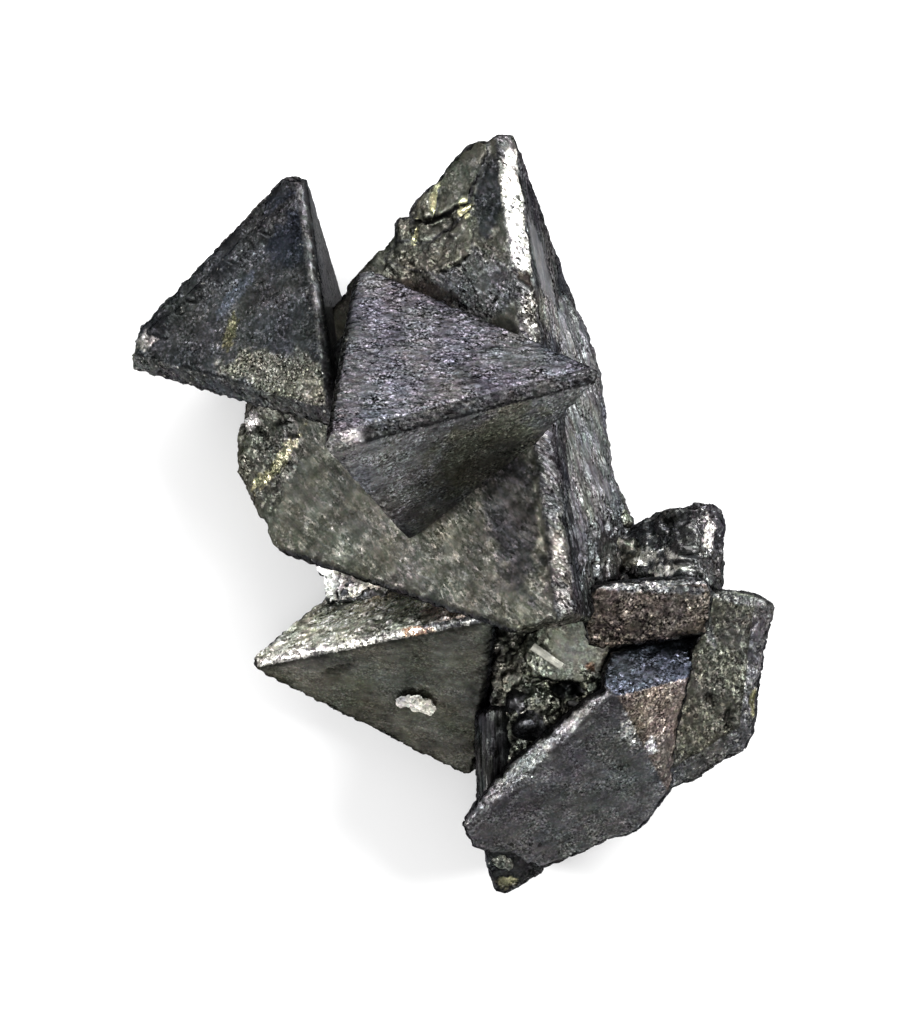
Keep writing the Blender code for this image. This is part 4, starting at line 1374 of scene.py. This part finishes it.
    def shard(self) -> Block:
        """The dark glossy shard behind the ledge."""
        dark = Finish(Tint.STEEL, 0.050, sparkle=0.9, gloss=0.8, relief=self.HACKLY)
        glint = Finish(Tint.CREAM, 0.60, sparkle=0.8, gloss=0.9, bare=0.45, relief=self.ROUGH)
        return Block(
            (
                (7.13, -3.72), (7.48, -2.21), (8.04, -1.51), (8.64, -1.21), (9.44, -0.65), (10.35, -0.20),
                (11.05, 0.10), (11.86, 0.15), (12.36, 0.30), (13.16, 0.30), (13.61, 0.00), (13.81, -0.40),
                (13.66, -2.01), (13.61, -3.92), (12.76, -4.47),
            ),
            (
                ((9.47, -0.70, 7.0), (12.15, 0.10, 8.2), (11.93, -3.46, 8.8)),
                ((12.15, 0.10, 8.2), (11.93, -3.46, 8.8), (13.70, -1.71, 6.8)),
                ((9.47, -0.70, 7.0), (10.44, -3.36, 8.3), (7.45, -2.97, 7.0)),
            ),
            9.0, 0.80,
            (((13.30, -0.20, 5.6), (0.62, 0.45, -0.64)), ((10.30, -0.30, 4.5), (-0.20, 0.85, -0.50))),
            faces={
                "0": Face(dark, (
                    Patch((11.6, -1.6), (0.8, 1.0), glint, ragged=1.2),
                    Patch((9.9, -2.3), (0.7, 0.5), glint, ragged=1.2),
                    Patch((12.3, -0.7), (0.5, 0.3), glint, ragged=1.2),
                    Patch((11.0, -3.0), (0.6, 0.3), glint, ragged=1.4),
                    # A sunk hole with painted shade in it.
                    Patch((10.96, -0.62), (0.35, 0.3), replace(dark, shade=0.02), sunk=0.4),
                )),
                "1": Face(dark, (Patch((12.9, -1.0), (0.30, 0.8), glint, ragged=1.2),)),
                "2": Face(dark, (Patch((8.6, -2.6), (0.4, 0.3), glint, ragged=1.2),)),
            },
            finish=replace(dark, gloss=0.5),
        )

    def fin(self) -> Block:
        """The narrow upright crystal beside the wedge."""
        lined = Finish(Tint.STEEL, 0.046, sparkle=0.6, lined=0.6, heading=(0.05, -1.0), stretch=4.0,
                       relief=Relief(lines=0.12, waves=0.05))
        return Block(
            ((1.21, -10.17), (2.01, -9.80), (3.22, -9.80), (3.93, -11.28), (3.12, -12.79), (1.36, -14.80)),
            (
                ((1.91, -10.24, 8.2), (1.61, -14.27, 7.9), (3.42, -11.53, 7.2)),
                ((1.21, -10.37, 7.0), (1.41, -14.61, 6.9), (1.86, -12.25, 8.1)),
            ),
            8.2, 0.85, faces={"0": Face(lined), "1": Face(lined)}, finish=self.default,
        )

    def right_growth(self) -> Block:
        """The rough growth down the tall crystal's right side."""
        streaked = Finish(Tint.STEEL, 0.150, sparkle=1.2, heading=(0.26, -0.966), stretch=3.4, relief=Relief(
            waves=0.20, wave_size=1.5, lumps=0.06, lines=0.16, line_step=0.36, steps=0.30, step_size=1.6, chips=0.25))
        dark = replace(streaked, shade=0.105, sparkle=1.3, relief=self.HACKLY, stretch=1.4)
        return Block(
            (
                (5.70, 11.00), (6.55, 9.90), (6.95, 9.20), (7.45, 7.35), (7.70, 4.70), (8.10, 1.70),
                (9.10, -0.35), (9.30, -1.60), (8.20, -3.40), (5.80, -4.40), (4.20, 0.00), (3.40, 8.00),
            ),
            (
                ((4.45, 12.00, 6.7), (5.90, -2.00, 14.0), (7.75, 4.70, 5.0)),
                ((6.20, -1.00, 12.8), (6.00, -4.00, 14.2), (9.20, -1.60, 5.2)),
                ((3.00, 12.00, 10.9), (5.00, 12.00, 10.1), (5.00, -3.00, 15.1)),
            ),
            14.0, 0.96, faces={"0": Face(streaked), "1": Face(dark), "2": Face(replace(streaked, shade=0.085))}, finish=dark,
        )

    def notch_floor(self) -> Block:
        """The floor of the notch that the druse grows on."""
        return Block(
            (
                (-6.50, -1.60), (-6.55, -2.60), (-6.20, -3.60), (-6.30, -4.60), (-3.40, -4.60), (-2.40, -3.40),
                (-3.60, -1.60),
            ),
            (((-6.60, -2.60, 5.6), (-6.10, -4.40, 6.0), (-3.40, -3.70, 6.9)),),
            4.2, 0.85, finish=self.default,
        )

    def hollow_bed(self) -> Block:
        """The gravelly bed of the hollow, with painted shade in the recess beside the slope."""
        gravel = Finish(Tint.OLIVE, 0.085, sparkle=1.6, relief=self.GRAVEL)
        # Painted shade, near black, in the recess between the bed and the slope.
        shade = replace(gravel, tint=Tint.SLATE, shade=0.008, sparkle=0.4)
        return Block(
            (
                (2.10, -5.90), (3.80, -5.20), (5.60, -4.60), (8.20, -4.60), (8.50, -7.40), (8.20, -9.20),
                (6.20, -10.80), (4.40, -12.20), (2.60, -13.20), (2.00, -11.00), (2.00, -8.40),
            ),
            (((2.40, -6.40, 8.1), (7.60, -7.60, 8.2), (3.20, -12.60, 7.3)),),
            4.0, 0.90, faces={"0": Face(gravel, (Patch((5.9, -8.95), (1.1, 0.45), shade, ragged=0.5),))},
            finish=self.default,
        )

    def roots(self) -> list[Growth]:
        """The smaller crystals behind and between the large ones."""
        breaks = (
            ((14.2, -8.0, 3.0), (0.95, 0.05, -0.30)), ((9.6, -14.0, 3.0), (0.53, -0.79, -0.30)),
            ((0.4, -12.2, 3.0), (-0.28, -0.91, -0.30)), ((-4.6, -8.6, 3.0), (-0.62, -0.72, -0.30)),
            ((-8.8, 0.5, 3.0), (-0.93, -0.22, -0.30)), ((-5.6, 11.2, 3.0), (-0.55, 0.78, -0.30)),
            ((4.6, 10.8, 3.0), (0.68, 0.67, -0.30)), ((11.2, -3.4, 6.0), (0.60, 0.74, -0.30)),
        )
        rooted = (
            ((6.6, -10.6, 2.6), 13.5, (35.0, 12.0, 20.0)), ((11.0, -7.4, 2.2), 12.5, (-20.0, 30.0, 65.0)),
            ((5.6, -6.2, 4.0), 12.5, (50.0, -15.0, 110.0)), ((0.4, -5.2, 2.2), 12.5, (10.0, 40.0, -15.0)),
            ((-4.2, 6.2, 1.6), 13.0, (-60.0, 25.0, 40.0)), ((3.6, 4.0, 1.4), 12.0, (20.0, 65.0, 10.0)),
        )
        filling = (
            ((-3.3, 7.2, 8.2), 8.4, (-27.9, 4.4, -42.3)), ((-3.4, -3.3, 3.4), 7.0, (24.0, -38.0, 10.0)),
            ((-6.9, 8.6, 3.8), 7.0, (15.0, 50.0, 80.0)), ((4.0, -9.2, 4.4), 8.5, (35.0, 25.0, 60.0)),
        )
        found: list[Growth] = [Crystal(*root, broken=breaks, finish=self.default) for root in rooted]
        return found + [Crystal(*fill, finish=self.default) for fill in filling]

    def lumps(self) -> list[Growth]:
        """The rounded lumps in the hollow at the lower right."""
        pale = Finish(Tint.OLIVE, 0.090, sparkle=1.0, relief=self.GRAVEL)
        places = (
            ((4.35, -10.05, 7.6), 1.30, 0.80), ((2.95, -8.40, 7.4), 0.85, 0.80), ((3.10, -11.20, 6.9), 0.75, 0.90),
            ((2.75, -6.90, 8.0), 0.70, 0.70), ((7.00, -8.35, 8.9), 0.60, 0.90), ((8.20, -0.70, 5.6), 0.80, 0.90),
            ((8.60, -2.10, 6.8), 0.80, 0.80), ((2.60, -17.40, 6.6), 0.60, 0.60),
        )
        return [Lump(*place, finish=pale) for place in places]

    def lump_row(self, start: Point, end: Point, count: int, radius: float, finish: Finish) -> list[Growth]:
        """Small uneven lumps along the rim of a block.

        Args:
            start: One end of the row.
            end: The other end.
            count: How many there are.
            radius: Their usual radius, in mm.
            finish: Their finish.

        Returns:
            The lumps.
        """
        source = np.random.default_rng(count)
        found: list[Growth] = []
        for step in range(count):
            place = Vector(start).lerp(Vector(end), (step + source.uniform(0.2, 0.8)) / count)
            found.append(Lump(tuple(place), radius * source.uniform(0.7, 1.2), 0.8, finish=finish))
        return found

    def parallel(self, large: Crystal, start: Place, end: Place, count: int, edge: float) -> list[Growth]:
        """Small crystals turned as a large one, in a row along its face d.

        Args:
            large: The crystal that they grow on.
            start: One end of the row, seen from above.
            end: The other end.
            count: How many there are.
            edge: Their usual edge, in mm.

        Returns:
            The small crystals.
        """
        source = np.random.default_rng(count)
        found: list[Growth] = []
        for step in range(count):
            share = (step + source.uniform(0.2, 0.8)) / count
            place = (start[0] + (end[0] - start[0]) * share, start[1] + (end[1] - start[1]) * share)
            size = edge * source.uniform(0.7, 1.3)
            centre = large.place_on("d", place, source.uniform(0.05, 0.25) - INRADIUS * size)
            found.append(Crystal(tuple(centre), size, large.turn, 0.06, 0.30, finish=large.face("d").finish))
        return found

    def pale_pieces(self) -> list[Piece]:
        """The pale grain on the lower left crystal and the crust in the notch."""
        pale = Finish(Tint.CREAM, 0.60, sparkle=0.45, relief=replace(self.ROUGH, facets=0.16, facet_size=0.4), rim=0.0)
        chip = Ledge(
            ((-2.80, -9.45), (-2.55, -9.27), (-2.00, -9.22), (-1.40, -9.28), (-0.95, -9.48), (-0.75, -9.82),
             (-0.90, -10.28), (-1.45, -10.14), (-2.15, -9.90), (-2.72, -9.72)),
            0.36, self.lower_left(), faces={"top": Face(pale)}, finish=pale,
        )
        grains = replace(pale, shade=0.95, sparkle=0.9, relief=Relief(
            waves=0.20, lumps=0.14, facets=0.50, facet_size=0.55, pits=0.45, pit_size=0.75, chips=0.1))
        gap = replace(grains, tint=Tint.BROWN, shade=0.035, sparkle=1.0)
        crust = Block(
            ((-6.55, -2.45), (-6.60, -2.85), (-6.25, -3.60), (-6.25, -4.40), (-5.70, -4.55), (-4.60, -4.10),
             (-3.50, -3.65), (-3.30, -3.35), (-4.60, -2.75), (-5.70, -2.40)),
            (((-6.60, -2.60, 6.0), (-6.10, -4.40, 6.4), (-3.40, -3.70, 7.3)),),
            2.4, 0.90,
            faces={"0": Face(grains, (
                Patch((-4.9, -3.35), (0.9, 0.30), gap, turn=-10, sunk=0.30, ragged=1.6, strength=0.8),
                Patch((-5.6, -4.1), (0.5, 0.35), gap, sunk=0.30, ragged=1.6),
                Patch((-3.9, -3.3), (0.5, 0.25), gap, sunk=0.20, ragged=1.4),
            ))},
            finish=grains,
        )
        return [
            Piece("pale_chip", [chip], 0.06, 0.08, 0.0, "quartz_grain", "quartz", "pale"),
            Piece("druse_crust", [crust], 0.07, 0.08, 0.0, "pale_druse", "druse", "pale"),
        ]

    def pieces(self) -> list[Piece]:
        """Every piece, from the front one back."""
        tall = self.tall()
        left = self.left()
        slab = self.slab()
        slab_rim = self.lump_row((12.95, -4.30, 8.6), (15.90, -4.80, 8.1), 6, 0.34, slab.face("2").finish)
        ledge = self.ledge()
        ledge_rim = self.lump_row((6.90, -3.90, 10.2), (12.80, -3.70, 10.8), 9, 0.24, ledge.face("1").finish)
        tall_rows = self.parallel(tall, (-4.70, 11.30), (-0.30, 16.30), 8, 1.7)
        return [
            Piece("front_crystal", [self.front()], 0.10),
            Piece("left_crystal", [left, *self.parallel(left, (-15.10, 8.90), (-7.80, 15.70), 13, 1.5)], 0.10),
            Piece("lower_left_crystal", [self.lower_left()], 0.105),
            Piece("tall_crystal", [tall, *self.tall_ledges(tall), *tall_rows], 0.14),
            Piece("wedge", [self.wedge()], 0.11),
            Piece("foot", [self.foot()], 0.10),
            Piece("slab", [slab, *slab_rim], 0.105),
            Piece("ledge", [ledge, *ledge_rim], 0.10),
            Piece("ramp", [self.ramp()], 0.10),
            Piece("shard", [self.shard()], 0.10),
            Piece("fin", [self.fin()], 0.11),
            Piece("right_growth", [self.right_growth()], 0.13),
            Piece("notch_floor", [self.notch_floor()], 0.14),
            Piece("lumps", [*self.lumps(), self.hollow_bed()], 0.11),
            Piece("root_crystals", self.roots(), 0.24),
            *self.pale_pieces(),
        ]


@dataclass(frozen=True)
class Lamp:
    """A soft lamp that shines on the specimen from one direction."""

    name: str
    towards: Point
    power: float
    size: float
    distance: float = 0.45
    colour: Colour = (1.0, 1.0, 1.0)

    def build(self) -> None:
        """Hangs the lamp."""
        light = bpy.data.lights.new(self.name, "AREA")
        light.shape = "DISK"
        light.energy = self.power
        light.size = self.size
        light.color = self.colour
        lamp = bpy.data.objects.new(self.name, light)
        direction = Vector(self.towards).normalized()
        lamp.location = direction * self.distance
        lamp.rotation_euler = direction.to_track_quat("Z", "Y").to_euler()
        bpy.context.scene.collection.objects.link(lamp)


class Studio:
    """The pale floor, the soft lamps and the camera that looks straight down."""

    LAMPS = (
        Lamp("key", (0.667, 0.537, 0.517), 2.1, 0.14),
        Lamp("strip_left", (-0.774, 0.036, 0.634), 1.3, 0.12),
        Lamp("strip_right", (0.708, -0.022, 0.707), 0.8, 0.12),
        Lamp("back_fill", (0.05, 0.90, 0.45), 1.6, 0.30),
        Lamp("over", (-0.1, -0.1, 1.0), 0.8, 0.25, 0.8),
    )
    FLOOR_SIZE = 6.0
    FLOOR_DROP = 0.00002
    WORLD_LIGHT = 0.55

    def floor(self) -> None:
        """A wide pale floor, just under the specimen."""
        form = bmesh.new()
        bmesh.ops.create_grid(form, x_segments=1, y_segments=1, size=self.FLOOR_SIZE / 2)
        bmesh.ops.translate(form, vec=(0, 0, -self.FLOOR_DROP), verts=form.verts)
        mesh = bpy.data.meshes.new("floor")
        form.to_mesh(mesh)
        form.free()
        shader = Shader("floor_paper", 0.0, 0.9)
        shader.principled.inputs["Base Color"].default_value = (0.92, 0.92, 0.92, 1.0)
        mesh.materials.append(shader.material)
        floor = bpy.data.objects.new("floor", mesh)
        bpy.context.scene.collection.objects.link(floor)
        floor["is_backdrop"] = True

    def sky(self) -> None:
        """An even pale light from all round."""
        world = bpy.data.worlds.new("studio")
        world.use_nodes = True
        background = world.node_tree.nodes["Background"]
        background.inputs["Color"].default_value = (1.0, 1.0, 1.0, 1.0)
        background.inputs["Strength"].default_value = self.WORLD_LIGHT
        bpy.context.scene.world = world

    def camera(self) -> None:
        """A long lens straight above, at the distance that gives the photograph's scale."""
        camera = bpy.data.cameras.new("camera")
        camera.lens = LENS
        camera.sensor_width = SENSOR
        camera.clip_start = 0.01
        camera.clip_end = 20.0
        distance = IMAGE_HEIGHT * PIXEL * LENS / SENSOR
        stand = bpy.data.objects.new("camera", camera)
        stand.location = (ORIGIN_SHIFT[0] * MM, ORIGIN_SHIFT[1] * MM, (FOCUS_HEIGHT + distance) * MM)
        bpy.context.scene.collection.objects.link(stand)
        bpy.context.scene.camera = stand

    def build(self) -> None:
        """Sets up the studio."""
        self.floor()
        self.sky()
        self.camera()
        for lamp in self.LAMPS:
            lamp.build()
        bpy.context.scene.view_settings.view_transform = "Standard"


def dress_needle(needle: bpy.types.Object) -> None:
    """Gives the pale needle its finish.

    Args:
        needle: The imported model's node.
    """
    finish = QuartzFinish("quartz_clear", (0.50, 0.49, 0.42), (0.26, 0.26, 0.23), 0.30)
    needle.data.materials.clear()
    needle.data.materials.append(finish.build())


def main() -> None:
    """Builds the specimen and its studio."""
    logging.basicConfig(level=logging.INFO, format="%(message)s")
    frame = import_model()
    cad_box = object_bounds()
    Studio().build()
    materials = {
        "metal": MetalFinish().build(),
        "pale": MetalFinish("pale_mineral", 0.0, edge_tint=(1.0, 1.0, 1.0), bare_colour=(0.92, 0.90, 0.84)).build(),
    }
    for piece in Specimen().pieces():
        piece.build(materials[piece.material], cad_box)
    dress_needle(frame["nodes"]["quartz_needle"])
    bpy.context.view_layer.update()


if __name__ == "__main__":
    main()
